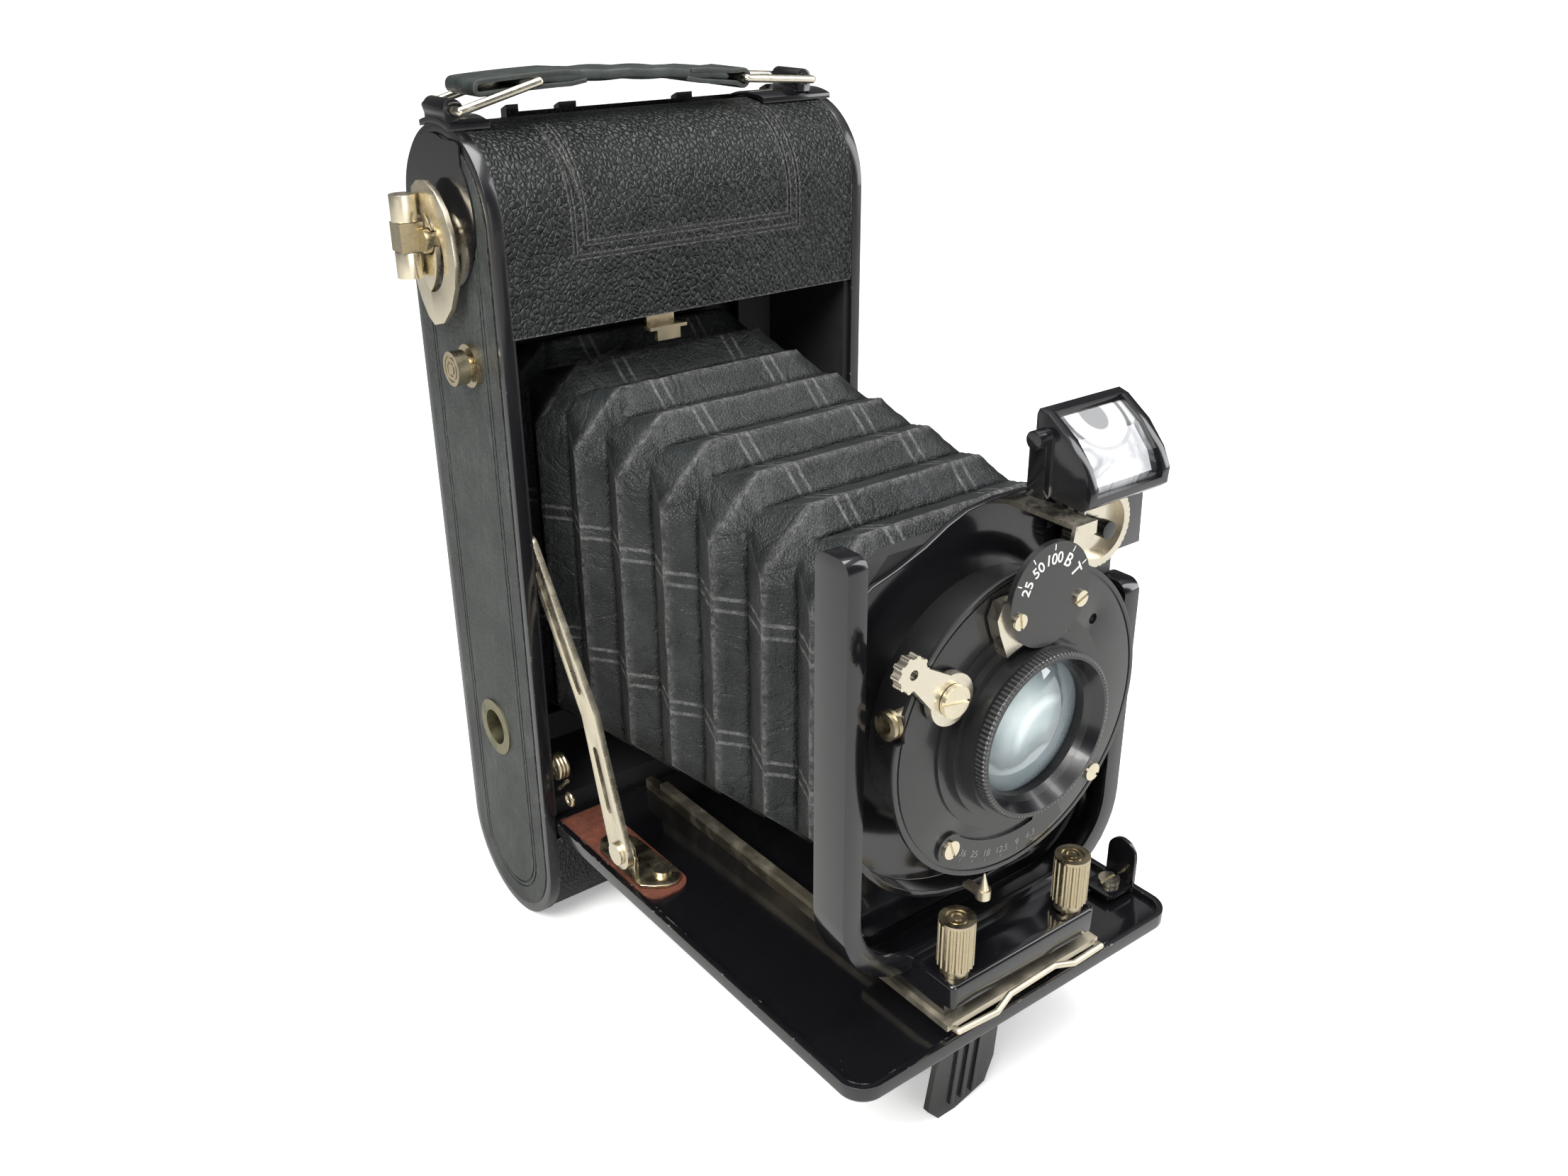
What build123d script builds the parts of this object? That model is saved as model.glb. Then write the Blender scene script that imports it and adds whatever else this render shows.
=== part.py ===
from build123d import *
import math
import os

# Folding 120 roll-film camera, opened out on its bed.
# The parts are laid out with the ground at z 0, the body's front face at y 0 and the
# middle plane at x 0. The lens looks along -y; left means -x, as seen from the front.
# save() moves the origin to the mouth of the tripod bush. All sizes are in mm.

os.makedirs("parts", exist_ok=True)

# ---- driving dimensions ----
BODY_W = 80.0            # over the two side caps
BODY_D = 33.0            # front face to back door
BODY_H = 161.0           # over both rounded ends
HALF_W = BODY_W / 2
CAP_X = -HALF_W          # outer face of the left cap
OPEN_TOP = 126.5         # top edge of the bed opening
OPEN_LOW = 24.0          # top edge of the panel under the bed
WALL_IN = 36.8           # inner face of the chamber walls
WALL_OUT = 38.8
CLEAR = 0.05             # radial clearance

BED_LEN = 93.2           # bed reach in front of the body
BED_HALF = 75.4 / 2
BED_UNDER = 25.0
BED_FLOOR = 26.9
BED_TOP = 28.1           # bed rim
LENS_Z = 77.7            # lens axis height over the ground
FACE_R = 26.6            # shutter face disc
FACE_Y = -86.5           # its front
FACE_BACK = -85.8
PLATE_Y = FACE_Y - 0.45  # front of the plate on the shutter face

# Axes running along x, as (y, z)
SPOOL_Y = 17.8
KEY = (SPOOL_Y, 141.5)   # winding key and take-up spool
SUPPLY = (SPOOL_Y, 16.6)
TRIPOD = (17.8, 43.2)
BUTTON = (11.8, 120.2)

SPOOL_R = 12.5           # 120 film spool flange
SPOOL_PIN_R = 2.5
KEY_SHAFT_R = 2.15
KEY_BORE_R = 2.6
BUSH_R = 5.0             # bores through the left wall
BUTTON_R = 2.0
TRIPOD_BORE_R = 3.75     # 3/8-16 thread, minor bore
BUSH_MOUTH_X = -40.5


# ---- helpers ----
def save(name, *shapes):
    solids = []
    for shape in shapes:
        solids += list(shape.solids())
    if len(solids) > 1:
        body = Compound(children=[Solid(s.wrapped) for s in solids])
    else:
        body = Solid(solids[0].wrapped)
    export_step(Pos(-BUSH_MOUTH_X, -TRIPOD[0], -TRIPOD[1]) * body, f"parts/{name}.step")


def mirror_x(shape):
    return mirror(shape, about=Plane.YZ)


def save_pair(name, shape):
    save(name, shape, mirror_x(shape))


def fuse(shapes):
    """Join shapes one at a time, in order."""
    total = shapes[0]
    for shape in shapes[1:]:
        total = total + shape
    return total


def box(x0, x1, y0, y1, z0, z1):
    centre = Pos((x0 + x1) / 2, (y0 + y1) / 2, (z0 + z1) / 2)
    return centre * Box(abs(x1 - x0), abs(y1 - y0), abs(z1 - z0))


def rod_x(x0, x1, y, z, radius):
    return Pos((x0 + x1) / 2, y, z) * Rot(0, 90, 0) * Cylinder(radius, abs(x1 - x0))


def rod_y(y0, y1, x, z, radius):
    return Pos(x, (y0 + y1) / 2, z) * Rot(90, 0, 0) * Cylinder(radius, abs(y1 - y0))


def rod_z(z0, z1, x, y, radius):
    return Pos(x, y, (z0 + z1) / 2) * Cylinder(radius, abs(z1 - z0))


def lens_rod(y0, y1, radius):
    """Cylinder on the lens axis."""
    return rod_y(y0, y1, 0, LENS_Z, radius)


def prism_x(points, x0, x1):
    """(y, z) outline run along x."""
    plane = Plane(origin=(x0, 0, 0), x_dir=(0, 1, 0), z_dir=(1, 0, 0))
    return extrude(make_face(plane * Polyline(*points, close=True)), x1 - x0, dir=(1, 0, 0))


def prism_y(points, y0, y1):
    """(x, z) outline run along y."""
    plane = Plane(origin=(0, y1, 0), x_dir=(1, 0, 0), z_dir=(0, -1, 0))
    return extrude(make_face(plane * Polyline(*points, close=True)), y1 - y0, dir=(0, -1, 0))


def prism_z(points, z0, z1):
    """(x, y) outline run along z."""
    plane = Plane(origin=(0, 0, z0))
    return extrude(make_face(plane * Polyline(*points, close=True)), z1 - z0, dir=(0, 0, 1))


def stadium(inset, x0, x1):
    """Body side outline shrunk by inset, run along x."""
    plane = Plane(origin=(x0, BODY_D / 2, BODY_H / 2), x_dir=(0, 0, 1), z_dir=(-1, 0, 0))
    face = plane * SlotOverall(BODY_H - 2 * inset, BODY_D - 2 * inset)
    return extrude(face, x1 - x0, dir=(1, 0, 0))


def band(outer, inner, x0, x1):
    """Closed skin between two insets of the body outline."""
    return stadium(outer, x0, x1) - stadium(inner, x0 - 1, x1 + 1)


def arc_points(u, v, radius, start, end, steps):
    angles = [math.radians(start + (end - start) * i / steps) for i in range(steps + 1)]
    return [(u + radius * math.cos(a), v + radius * math.sin(a)) for a in angles]


def ring_points(u, v, radius, count):
    return arc_points(u, v, radius, 0, 360, count)[:-1]


def taper_points(start, end, half0, half1):
    """Corners of a straight bar between two points, with its half width at each."""
    length = math.hypot(end[0] - start[0], end[1] - start[1])
    nu, nv = -(end[1] - start[1]) / length, (end[0] - start[0]) / length
    return [(start[0] + nu * half0, start[1] + nv * half0),
            (end[0] + nu * half1, end[1] + nv * half1),
            (end[0] - nu * half1, end[1] - nv * half1),
            (start[0] - nu * half0, start[1] - nv * half0)]


def round_edges(shape, edges, radius):
    # Guards against a fillet the kernel cannot build: the shape then stays sharp.
    try:
        return fillet(edges, radius)
    except Exception:
        return shape


def round_front(shape, radius):
    """Round the upright edges at the front."""
    return round_edges(shape, shape.edges().filter_by(Axis.Z).group_by(Axis.Y)[0], radius)


# ---- side caps: pressed stadium plates with a lap rim, inlaid with leather ----
INLAY_INSET = 2.0
cap = stadium(0, CAP_X, CAP_X + 1.2) + band(0, 0.9, CAP_X, CAP_X + 2.2)
cap -= stadium(INLAY_INSET, CAP_X - 1, CAP_X + 0.5)
inlay = stadium(INLAY_INSET, CAP_X - 0.15, CAP_X + 0.5)
for inset in (5.6, 6.6):
    inlay -= band(inset, inset + 0.45, CAP_X - 0.2, CAP_X + 0.15)
right_cap, right_inlay = mirror_x(cap), mirror_x(inlay)
for axis, radius in ((TRIPOD, BUSH_R), (KEY, KEY_BORE_R), (BUTTON, BUTTON_R)):
    cap -= rod_x(-45, -30, *axis, radius)
    inlay -= rod_x(-45, -30, *axis, radius)
save("side_caps", cap, right_cap)
save("side_leathers", inlay, right_inlay)

# plain bearing plate between the key and the left cap
bearing = rod_x(CAP_X - 0.5, CAP_X - 0.15, 18.5, 146.0, 13.2)
bearing += box(CAP_X - 0.5, CAP_X - 0.15, 8.5, 29.5, 146.0, 158.6)
bearing &= stadium(0.8, CAP_X - 1, CAP_X)
bearing -= rod_x(-45, -30, *KEY, KEY_BORE_R)
save("bearing_plate", bearing)

# ---- body skin and its leather, above and below the bed opening ----
top_zone = box(-50, 50, -5, 16.5, OPEN_TOP, 170) + box(-50, 50, 16.4, 40, 144.6, 170)
low_zone = box(-50, 50, -5, 16.5, -5, OPEN_LOW) + box(-50, 50, 16.4, 40, -5, 16.4)
SHELL_HALF = HALF_W - 1.2
LEATHER_HALF = HALF_W - 2.2
top_shell = band(0.9, 1.7, -SHELL_HALF, SHELL_HALF) & top_zone
low_shell = band(0.9, 1.7, -SHELL_HALF, SHELL_HALF) & low_zone
top_leather = band(0.25, 0.9, -LEATHER_HALF, LEATHER_HALF) & top_zone
# pressed double line on the front and over the top
GROOVE_BED = 0.75
groove_skin = band(-2, GROOVE_BED, -50, 50)
for half, z_low in ((24.4, 138.6), (22.2, 140.9)):
    line = box(-half, half, -1, GROOVE_BED, z_low, z_low + 0.6)
    for x in (-half, half):
        line += box(x - 0.3, x + 0.3, -1, GROOVE_BED, z_low, 144.6)
        line += groove_skin & box(x - 0.3, x + 0.3, -2, 11.0, 144.4, 165)
    top_leather -= line
low_leather = band(0.25, 0.9, -LEATHER_HALF, LEATHER_HALF) & low_zone
low_leather -= box(-26.4, 26.4, 32.0, 34.0, 13.9, 17.0)
save("front_leathers", top_leather, low_leather)

# ---- inner frame: walls, shelves, film gate, spool pins ----
right_inner = WALL_IN + 0.2     # shelves and gate run this far into both walls
wall = box(-WALL_OUT, -WALL_IN, 1.2, 31.2, 29.0, OPEN_TOP)
wall += stadium(1.8, -WALL_OUT, -WALL_IN) & box(-50, 50, 1.7, 31.4, OPEN_TOP - 0.1, 170)
wall += stadium(1.8, -WALL_OUT, -WALL_IN) & box(-50, 50, 5.2, 31.4, -5, 29.2)
right_wall = mirror_x(wall)
for axis, radius in ((TRIPOD, BUSH_R), (KEY, KEY_BORE_R), (BUTTON, BUTTON_R)):
    wall -= rod_x(-39, -36, *axis, radius)
top_shelf = box(-right_inner, right_inner, 1.8, 26.5, 128.0, 128.6)
low_shelf = box(-right_inner, right_inner, 5.2, 26.5, 29.6, 30.2)
low_shelf += box(-right_inner, right_inner, 5.2, 5.8, 24.4, 30.2)
gate = box(-right_inner, right_inner, 26.0, 27.0, 29.6, 128.6)
gate -= box(-28.5, 28.5, 25, 28, 36.5, 119.5)
frame = wall + right_wall + top_shelf + low_shelf + gate
# pins for the right ends of both spools and the left end of the lower one
for x0, x1, axis in ((29.5, 37.5, KEY), (29.5, 37.5, SUPPLY), (-37.5, -29.5, SUPPLY)):
    frame += rod_x(x0, x1, *axis, SPOOL_PIN_R)
save("body_shell", top_shell, low_shell, frame)

save("film_rollers", *[rod_x(-WALL_IN, WALL_IN, 29.0, z, 1.4) for z in (33.6, 125.4)])


# ---- spools ----
def spool(axis, left_bore):
    body = rod_x(-32.8, 32.8, *axis, 4.2)
    for x0, x1 in ((-32.8, -31.6), (31.6, 32.8)):
        body += rod_x(x0, x1, *axis, SPOOL_R)
    body -= rod_x(28, 34, *axis, SPOOL_PIN_R + CLEAR)
    return body - rod_x(-34, -28, *axis, left_bore)


save("take_up_spool", spool(KEY, KEY_SHAFT_R + CLEAR))
save("supply_spool", spool(SUPPLY, SPOOL_PIN_R + CLEAR))

# ---- tripod bush ----
bush = rod_x(BUSH_MOUTH_X, -33.5, *TRIPOD, BUSH_R - CLEAR)
bush += rod_x(BUSH_MOUTH_X, -40.15, *TRIPOD, 5.9)
bush -= rod_x(-41, -34.5, *TRIPOD, TRIPOD_BORE_R)
save("tripod_bush", bush)

# ---- winding key: shaft with an eye, and a wing folding on the eye's pin ----
FOLD_PIN = (-45.8, 21.2)   # (x, y) of the upright pin
FOLD_PIN_R = 0.9
shaft = rod_x(-44.6, -31.0, *KEY, KEY_SHAFT_R)
shaft += box(-47.8, -43.4, 19.0, 23.2, 139.6, 144.6)
shaft += rod_x(-42.2, -40.6, *KEY, 3.5) + rod_x(-40.7, -36.9, *KEY, KEY_BORE_R - CLEAR)
shaft &= box(-50, -30, 10, 30, 130, 150)
shaft -= rod_z(130, 150, *FOLD_PIN, FOLD_PIN_R + CLEAR)
# flat under the neck, so the wing clears it as it folds
shaft -= box(-45.0, -42.3, 14.0, 19.0, 138.0, 139.65)
save("key_shaft", shaft)

# (y, z)
WING_OUTLINE = [
    (22.9, 150.0), (20.5, 151.4), (17.4, 151.7), (13.6, 150.3), (10.6, 147.4), (8.7, 143.6),
    (8.1, 139.1), (9.2, 134.6), (11.6, 130.6), (15.0, 127.6), (19.0, 126.5), (21.3, 127.7),
    (23.4, 130.4), (24.8, 133.2), (25.2, 136.2), (24.6, 138.4), (22.4, 139.2), (22.2, 144.9),
    (23.0, 147.0)]
knuckles = rod_z(135.0, 139.5, *FOLD_PIN, 2.3) + rod_z(144.7, 149.3, *FOLD_PIN, 2.3)
knuckles += rod_z(135.0, 149.3, *FOLD_PIN, FOLD_PIN_R)
wing = prism_x(WING_OUTLINE, -43.3, -42.4)
# crescent window round the shaft
wing -= (rod_x(-45, -41, SPOOL_Y + 1.6, KEY[1] - 2.2, 6.9)
         - rod_x(-45, -41, SPOOL_Y + 6.0, KEY[1] - 2.0, 8.4))
# leaves from the wing round to the knuckles
wing -= box(-44.0, -42.0, 22.2, 30.0, 137.7, 139.7)
wing += box(-45.9, -42.6, 22.3, 23.3, 135.2, 137.7) + box(-45.9, -42.6, 22.3, 23.3, 145.2, 148.9)
wing -= rod_x(-45, -41, *KEY, 2.4)
wing += knuckles
# room for the shaft's eye, leaving the pin
wing -= (box(-50, -40, 15, 30, 139.55, 144.65) - rod_z(130, 150, *FOLD_PIN, FOLD_PIN_R)
         - box(-50, -40, 10, 18.6, 139, 145))
save("key_wing", wing)

# ---- bed release button ----
button = rod_x(-44.4, -36.9, *BUTTON, BUTTON_R - CLEAR) + rod_x(-44.4, -42.0, *BUTTON, 3.1)
for radius in (1.1, 2.1):
    button -= (rod_x(-44.6, -44.2, *BUTTON, radius + 0.3)
               - rod_x(-44.7, -44.1, *BUTTON, radius - 0.1))
save("release_button", button)

# ---- small fittings: tongue at the top of the opening, collar of the button ----
collar = rod_x(-41.2, -40.15, *BUTTON, 3.9) - rod_x(-45, -38, *BUTTON, BUTTON_R)
tongue = box(-10.0, -2.0, 0.2, 4.0, 123.6, 124.2) + box(-8.5, -3.5, 0.2, 1.2, 121.6, 124.2)
tongue += box(-9.0, -3.0, 3.0, 4.0, 123.6, 128.0)
save("small_fittings", tongue, collar)

# ---- carrying handle ----
STRAP_X0, STRAP_X1 = -34.4, 19.5
STRAP_Y = (10.5, 21.5)
STRAP_STEPS = 26
RING_Y = (9.4, 22.6)
WIRE_R = 0.75
EYE_R = 0.85               # holes for the ring wire


def strap_z(x):
    return 167.15 - 0.0018 * (x + 15.0) ** 2


def strap_half(x):
    """Half thickness: the left end is doubled."""
    return 1.5 if x < -20 else 1.15


RING_LEFT, RING_RIGHT = (-24.0, strap_z(-24.0)), (STRAP_X1, strap_z(STRAP_X1))
LUG_LEFT, LUG_RIGHT = (-39.0, 163.2), (35.0, 163.9)
xs = [STRAP_X0 + (STRAP_X1 - STRAP_X0) * i / STRAP_STEPS for i in range(STRAP_STEPS + 1)]
strap = prism_y([(x, strap_z(x) + strap_half(x)) for x in xs]
                + [(x, strap_z(x) - strap_half(x)) for x in xs[::-1]], *STRAP_Y)
strap += rod_y(*STRAP_Y, STRAP_X0, strap_z(STRAP_X0), 1.5) + rod_y(*STRAP_Y, *RING_RIGHT, 1.9)
for place in (RING_LEFT, RING_RIGHT):
    strap -= rod_y(9, 23, *place, EYE_R)
save("handle_strap", strap)


def wire_ring(start, end):
    """Rectangular wire link between two (x, z) cross bars."""
    (x0, z0), (x1, z1) = start, end
    ring = rod_y(*RING_Y, x0, z0, WIRE_R) + rod_y(*RING_Y, x1, z1, WIRE_R)
    length = math.hypot(x1 - x0, z1 - z0)
    angle = math.degrees(math.atan2(z1 - z0, x1 - x0))
    for y in RING_Y:
        middle = Pos((x0 + x1) / 2, y, (z0 + z1) / 2)
        ring += middle * Rot(0, -angle, 0) * Rot(0, 90, 0) * Cylinder(WIRE_R, length)
        ring += Pos(x0, y, z0) * Sphere(WIRE_R)
        ring += Pos(x1, y, z1) * Sphere(WIRE_R)
    return ring


save("strap_rings", wire_ring(RING_LEFT, LUG_LEFT), wire_ring(RING_RIGHT, LUG_RIGHT))


def lug(place, neck, x0, x1):
    """Eye on a neck, over a base plate lying on the body from x0 to x1."""
    body = rod_y(12.0, 20.0, *place, 1.8) + neck
    body -= rod_y(11, 21, *place, EYE_R)
    return body + (band(-0.9, 0, x0, x1) & box(x0 - 1, x1 + 1, 11.0, 22.0, 155, 165))


left_neck = box(-40.6, -39.0, 12.0, 20.0, 160.2, LUG_LEFT[1]) - stadium(0, -42, -30)
right_neck = box(33.6, 36.6, 12.0, 20.0, 161.5, LUG_RIGHT[1])
save("strap_lugs", lug(LUG_LEFT, left_neck, -40.8, -33.0), lug(LUG_RIGHT, right_neck, 24.5, 40.8))

# ---- door latch bar along the top ----
# x0, x1, back edge y, height over the body: the bar, its ends, two middle pads
LATCH_STRIPS = [
    (-24.0, 36.0, 27.0, 1.0),
    (-24.0, -21.6, 24.6, 2.2),
    (33.6, 36.0, 24.6, 2.2),
    (-13.4, -9.8, 24.4, 2.0),
    (12.2, 15.8, 24.4, 2.0)]
save("door_latch", fuse([band(-lift, -0.05, x0, x1) & box(x0, x1, 22.4, y1, 150, 170)
                         for x0, x1, y1, lift in LATCH_STRIPS]))

# ---- back door, hinged at the bottom ----
HINGE = (34.3, 13.6)       # (y, z)
HINGE_R = 1.3
WINDOW_Z = 62.0
WINDOW_R = 4.0
door_half = HALF_W - 2.3
window_hole = rod_y(30, 36, 0, WINDOW_Z, WINDOW_R)
door = box(-door_half, door_half, 32.1, 32.7, 17.2, 143.8)
door += box(-door_half, door_half, 31.2, 32.2, 142.8, 143.8)
door -= window_hole
arms = box(-26.0, -9.0, 32.7, 33.6, 14.2, 20.5) + box(9.0, 26.0, 32.7, 33.6, 14.2, 20.5)
arms += rod_x(-26.0, -9.0, *HINGE, HINGE_R) + rod_x(9.0, 26.0, *HINGE, HINGE_R)
arms -= rod_x(-27, 27, *HINGE, 0.7)
save("back_door", door + arms)

leather_half = HALF_W - 2.6
door_leather = box(-leather_half, leather_half, 32.7, 33.3, 20.7, 143.4) - window_hole
for half, z0, z1 in ((31.0, 27.0, 137.0), (29.8, 28.2, 135.8)):
    door_leather -= (box(-half, half, 33.1, 33.6, z0, z1)
                     - box(-half + 0.35, half - 0.35, 33.0, 33.7, z0 + 0.35, z1 - 0.35))
save("door_leather", door_leather)
save("red_window", rod_y(32.3, 32.7, 0, WINDOW_Z, WINDOW_R - CLEAR))
save("window_cover", box(-6.0, 6.0, 33.3, 34.0, WINDOW_Z - 6.0, WINDOW_Z + 6.0)
     + rod_y(34.0, 35.0, 0, WINDOW_Z, 2.4))

hinge = rod_x(-8.9, 8.9, *HINGE, HINGE_R) + box(-8.9, 8.9, 31.6, 33.9, 12.0, 13.4)
hinge &= box(-10, 10, 30, 36, 9, 15)
hinge -= stadium(0.25, -12, 12)
hinge += rod_x(-26.0, 26.0, *HINGE, 0.65)
save("door_hinge", hinge)

# ---- bed: shallow tray, leathered underneath ----
bed = round_front(box(-BED_HALF, BED_HALF, -BED_LEN, 2.4, BED_UNDER, BED_TOP), 4.6)
hollow_half = BED_HALF - 1.2
bed -= round_front(
    box(-hollow_half, hollow_half, -BED_LEN + 1.2, 4, BED_FLOOR, BED_TOP + 1), 3.4)
bed = round_edges(bed, bed.edges().group_by(Axis.Z)[0], 0.8)
save("bed", bed)
leather_half = BED_HALF - 2.0
save("bed_leather", round_front(
    box(-leather_half, leather_half, -BED_LEN + 2.0, 0.5, 24.4, BED_UNDER), 3.2))
save("bed_hinge_pin", rod_x(-38.7, 38.7, 3.4, 26.0, 0.95))
TRACK_Z = 29.2             # underside of the focusing track
RAIL_X = (13.6, 15.4)
save_pair("bed_rails", box(*RAIL_X, -90.0, 1.5, BED_FLOOR, TRACK_Z - 0.1)
          + box(12.4, 15.4, -90.0, 1.5, BED_FLOOR, 27.5))

# ---- struts with two slots and a knee ----
# foot, knee and head as (y, z), with the half width at each
FOOT, KNEE, HEAD = (-22.6, 33.2), (-14.6, 59.0), (3.6, 86.6)
FOOT_W, KNEE_W, HEAD_W = 3.3, 2.6, 2.3
STRUT_X = (-36.7, -35.5)


def strut_slot(start, end, radius=0.8):
    slot = prism_x(taper_points(start, end, radius, radius), -38, -34)
    return slot + rod_x(-38, -34, *start, radius) + rod_x(-38, -34, *end, radius)


foot_bore = rod_x(-38, -34, *FOOT, 1.3)
strut = fuse([
    prism_x(taper_points(FOOT, KNEE, FOOT_W, KNEE_W), *STRUT_X),
    rod_x(*STRUT_X, *KNEE, KNEE_W),
    prism_x(taper_points(KNEE, HEAD, KNEE_W, HEAD_W), *STRUT_X),
    rod_x(*STRUT_X, *HEAD, HEAD_W),
    rod_x(*STRUT_X, *FOOT, FOOT_W)])
strut -= strut_slot((-20.0, 41.5), (-16.4, 52.5))
strut -= strut_slot((-11.8, 63.2), (0.5, 82.0))
strut -= foot_bore
save_pair("struts", strut)

# bracket on the bed with an ear for the strut's foot, outline (x, y)
BRACKET_OUTLINE = [
    (-35.4, -27.5), (-35.4, -13.0), (-33.6, -10.2), (-30.8, -9.2), (-28.8, -10.8),
    (-27.6, -14.0), (-27.2, -22.0), (-26.8, -27.5), (-27.4, -29.6), (-29.2, -30.8),
    (-31.4, -30.6), (-33.4, -29.4)]
PAD_TOP = 27.3
ear = box(-35.4, -34.5, -26.0, -18.5, 27.4, FOOT[1]) + rod_x(-35.4, -34.5, *FOOT, 3.0)
save_pair("strut_brackets", prism_z(BRACKET_OUTLINE, PAD_TOP, 28.1) + ear - foot_bore)
save_pair("fibre_pads", round_front(
    box(-36.2, -26.4, -32.2, 1.5, BED_FLOOR, PAD_TOP), 3.6))
strut_rivets = [
    rod_x(-37.5, -36.75, *FOOT, 2.2) + rod_x(-37.5, -34.4, *FOOT, 1.25),
    rod_z(28.1, 28.9, -29.6, -26.5, 1.9),
    rod_z(28.1, 28.7, -31.2, -13.0, 1.2)]

# coil of three turns, a straight leg and an end eye
SPRING_X = -36.2
spring = fuse([Pos(SPRING_X + 0.75 * i, 1.1, 40.1) * Rot(0, 90, 0) * Torus(2.3, 0.45)
               for i in range(3)])
spring += Pos(SPRING_X, -1.6, 37.4) * Rot(46, 0, 0) * Cylinder(0.42, 5.2)
spring += Pos(SPRING_X, -3.9, 35.2) * Rot(0, 90, 0) * Torus(1.2, 0.42)
save_pair("bed_springs", spring)


# ---- bellows, unpleated tapering tube ----
def octagon(y, half, z0, z1, corner):
    """Upright rectangle face with cut corners, looking forward."""
    points = [(-half + corner, z0), (half - corner, z0), (half, z0 + corner),
              (half, z1 - corner), (half - corner, z1), (-half + corner, z1),
              (-half, z1 - corner), (-half, z0 + corner)]
    plane = Plane(origin=(0, y, 0), x_dir=(1, 0, 0), z_dir=(0, -1, 0))
    return make_face(plane * Polyline(*points, close=True))


bellows = loft([octagon(25.9, 31.0, 37.5, 119.5, 9.0), octagon(-72.9, 27.5, 48.5, 107.0, 9.0)])
bellows -= loft([octagon(26.9, 25.5, 44.0, 113.0, 8.0), octagon(-73.9, 22.0, 55.0, 100.5, 8.0)])
save("bellows", bellows)
front_frame = extrude(octagon(-73.0, 28.0, 48.0, 107.5, 9.0), 2.75, dir=(0, -1, 0))
save("bellows_front_frame", front_frame - box(-21.5, 21.5, -80, -60, 56.0, 99.5))

# ---- focusing track with a bent wire across its front ----
TRACK_TOP = 30.4
track = box(-18.0, 18.0, -92.0, -71.5, TRACK_Z, TRACK_TOP) - box(-9.0, 9.0, -86.0, -50, 28, 31)
for side in (1, -1):
    track += box(side * RAIL_X[0], side * RAIL_X[1], -72.0, -4.0, TRACK_Z, TRACK_TOP)
# (x, y, z)
FRONT_WIRE = [
    (-17.0, -92.5, 29.8), (-17.0, -93.6, 30.0), (-9.0, -94.2, 30.0), (-5.0, -93.2, 30.9),
    (6.0, -92.9, 30.9), (10.0, -93.8, 30.0), (17.0, -93.6, 30.0), (17.0, -92.5, 29.8)]
FRONT_WIRE_R = 0.55
pieces = []
for start, end in zip(FRONT_WIRE, FRONT_WIRE[1:]):
    span = Vector(*end) - Vector(*start)
    plane = Plane(origin=start, z_dir=(span.X, span.Y, span.Z))
    pieces.append(Solid.make_cylinder(FRONT_WIRE_R, span.length, plane))
    if start != FRONT_WIRE[0]:
        pieces.append(Pos(*start) * Sphere(FRONT_WIRE_R))
save("focus_track", track, fuse(pieces))

# ---- focusing lever and its rivet ----
LEVER_PIVOT = (33.4, -81.6)   # (x, y)
lever = box(29.6, 36.6, -85.0, -78.6, 28.2, 29.0)
lever = round_edges(lever, lever.edges().filter_by(Axis.Z), 1.5)
lever = lever + prism_x([(-85.0, 28.3), (-78.8, 28.3)]
                        + arc_points(-81.9, 34.5, 3.1, 0, 180, 12), 35.8, 36.6)
lever -= rod_z(26, 31, *LEVER_PIVOT, 1.35)
save("focus_lever", lever)
lever_rivet = rod_z(BED_FLOOR, 29.1, *LEVER_PIVOT, 1.3) + rod_z(29.05, 29.9, *LEVER_PIVOT, 2.0)
lever_rivet -= box(31, 36, -81.9, -81.3, 29.5, 31)
save("bed_rivets", *strut_rivets, *[mirror_x(rivet) for rivet in strut_rivets], lever_rivet)

# ---- folding foot under the bed, outline (x, z) ----
FOOT_OUTLINE = [
    (-7.0, 24.3), (2.0, 24.3), (2.0, 21.8), (3.0, 16.0), (2.2, 7.0), (0.2, 2.0),
    (-7.0, 0.0), (-11.0, 0.0), (-13.6, 3.0), (-12.0, 12.0), (-9.4, 18.0), (-7.0, 21.8)]
FOOT_PIN = (-83.1, 23.2)      # (y, z)
foot = prism_y(FOOT_OUTLINE, -84.2, -83.0)
for i in range(3):            # slanting ribs on the front
    x = -5.8 + 2.6 * i
    foot += prism_y([(x - 0.5, 23.0), (x + 0.5, 23.0), (x - 2.0, 2.2), (x - 3.0, 2.2)],
                    -84.7, -84.1)
foot += rod_x(-7.0, 2.0, *FOOT_PIN, 1.1)
foot -= rod_x(-10, 5, *FOOT_PIN, 0.65)
save("foot", foot)
foot_hinge = rod_x(-9.0, 4.0, *FOOT_PIN, 0.6)
for x0, x1 in ((-9.0, -7.1), (2.1, 4.0)):
    foot_hinge += box(x0, x1, -84.3, -81.9, 22.6, 24.4)
save("foot_hinge", foot_hinge)

# ---- lens standard: flanged U, taller on the left ----
STD_HALF = 32.0
STD_LEFT_TOP, STD_RIGHT_TOP, STD_BOTTOM = 112.0, 91.5, 35.0
STD_FRONT, STD_REAR = -82.2, -74.9
STD_CORNER = 15.5
FLANGE = 3.6
END_R = 2.2


def u_outline(inset, left_top, right_top):
    half, radius = STD_HALF - inset, STD_CORNER - inset
    z = STD_BOTTOM + inset + radius
    return ([(-half, left_top)]
            + arc_points(-half + radius, z, radius, 180, 270, 10)
            + arc_points(half - radius, z, radius, 270, 360, 10)
            + [(half, right_top)])


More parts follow.
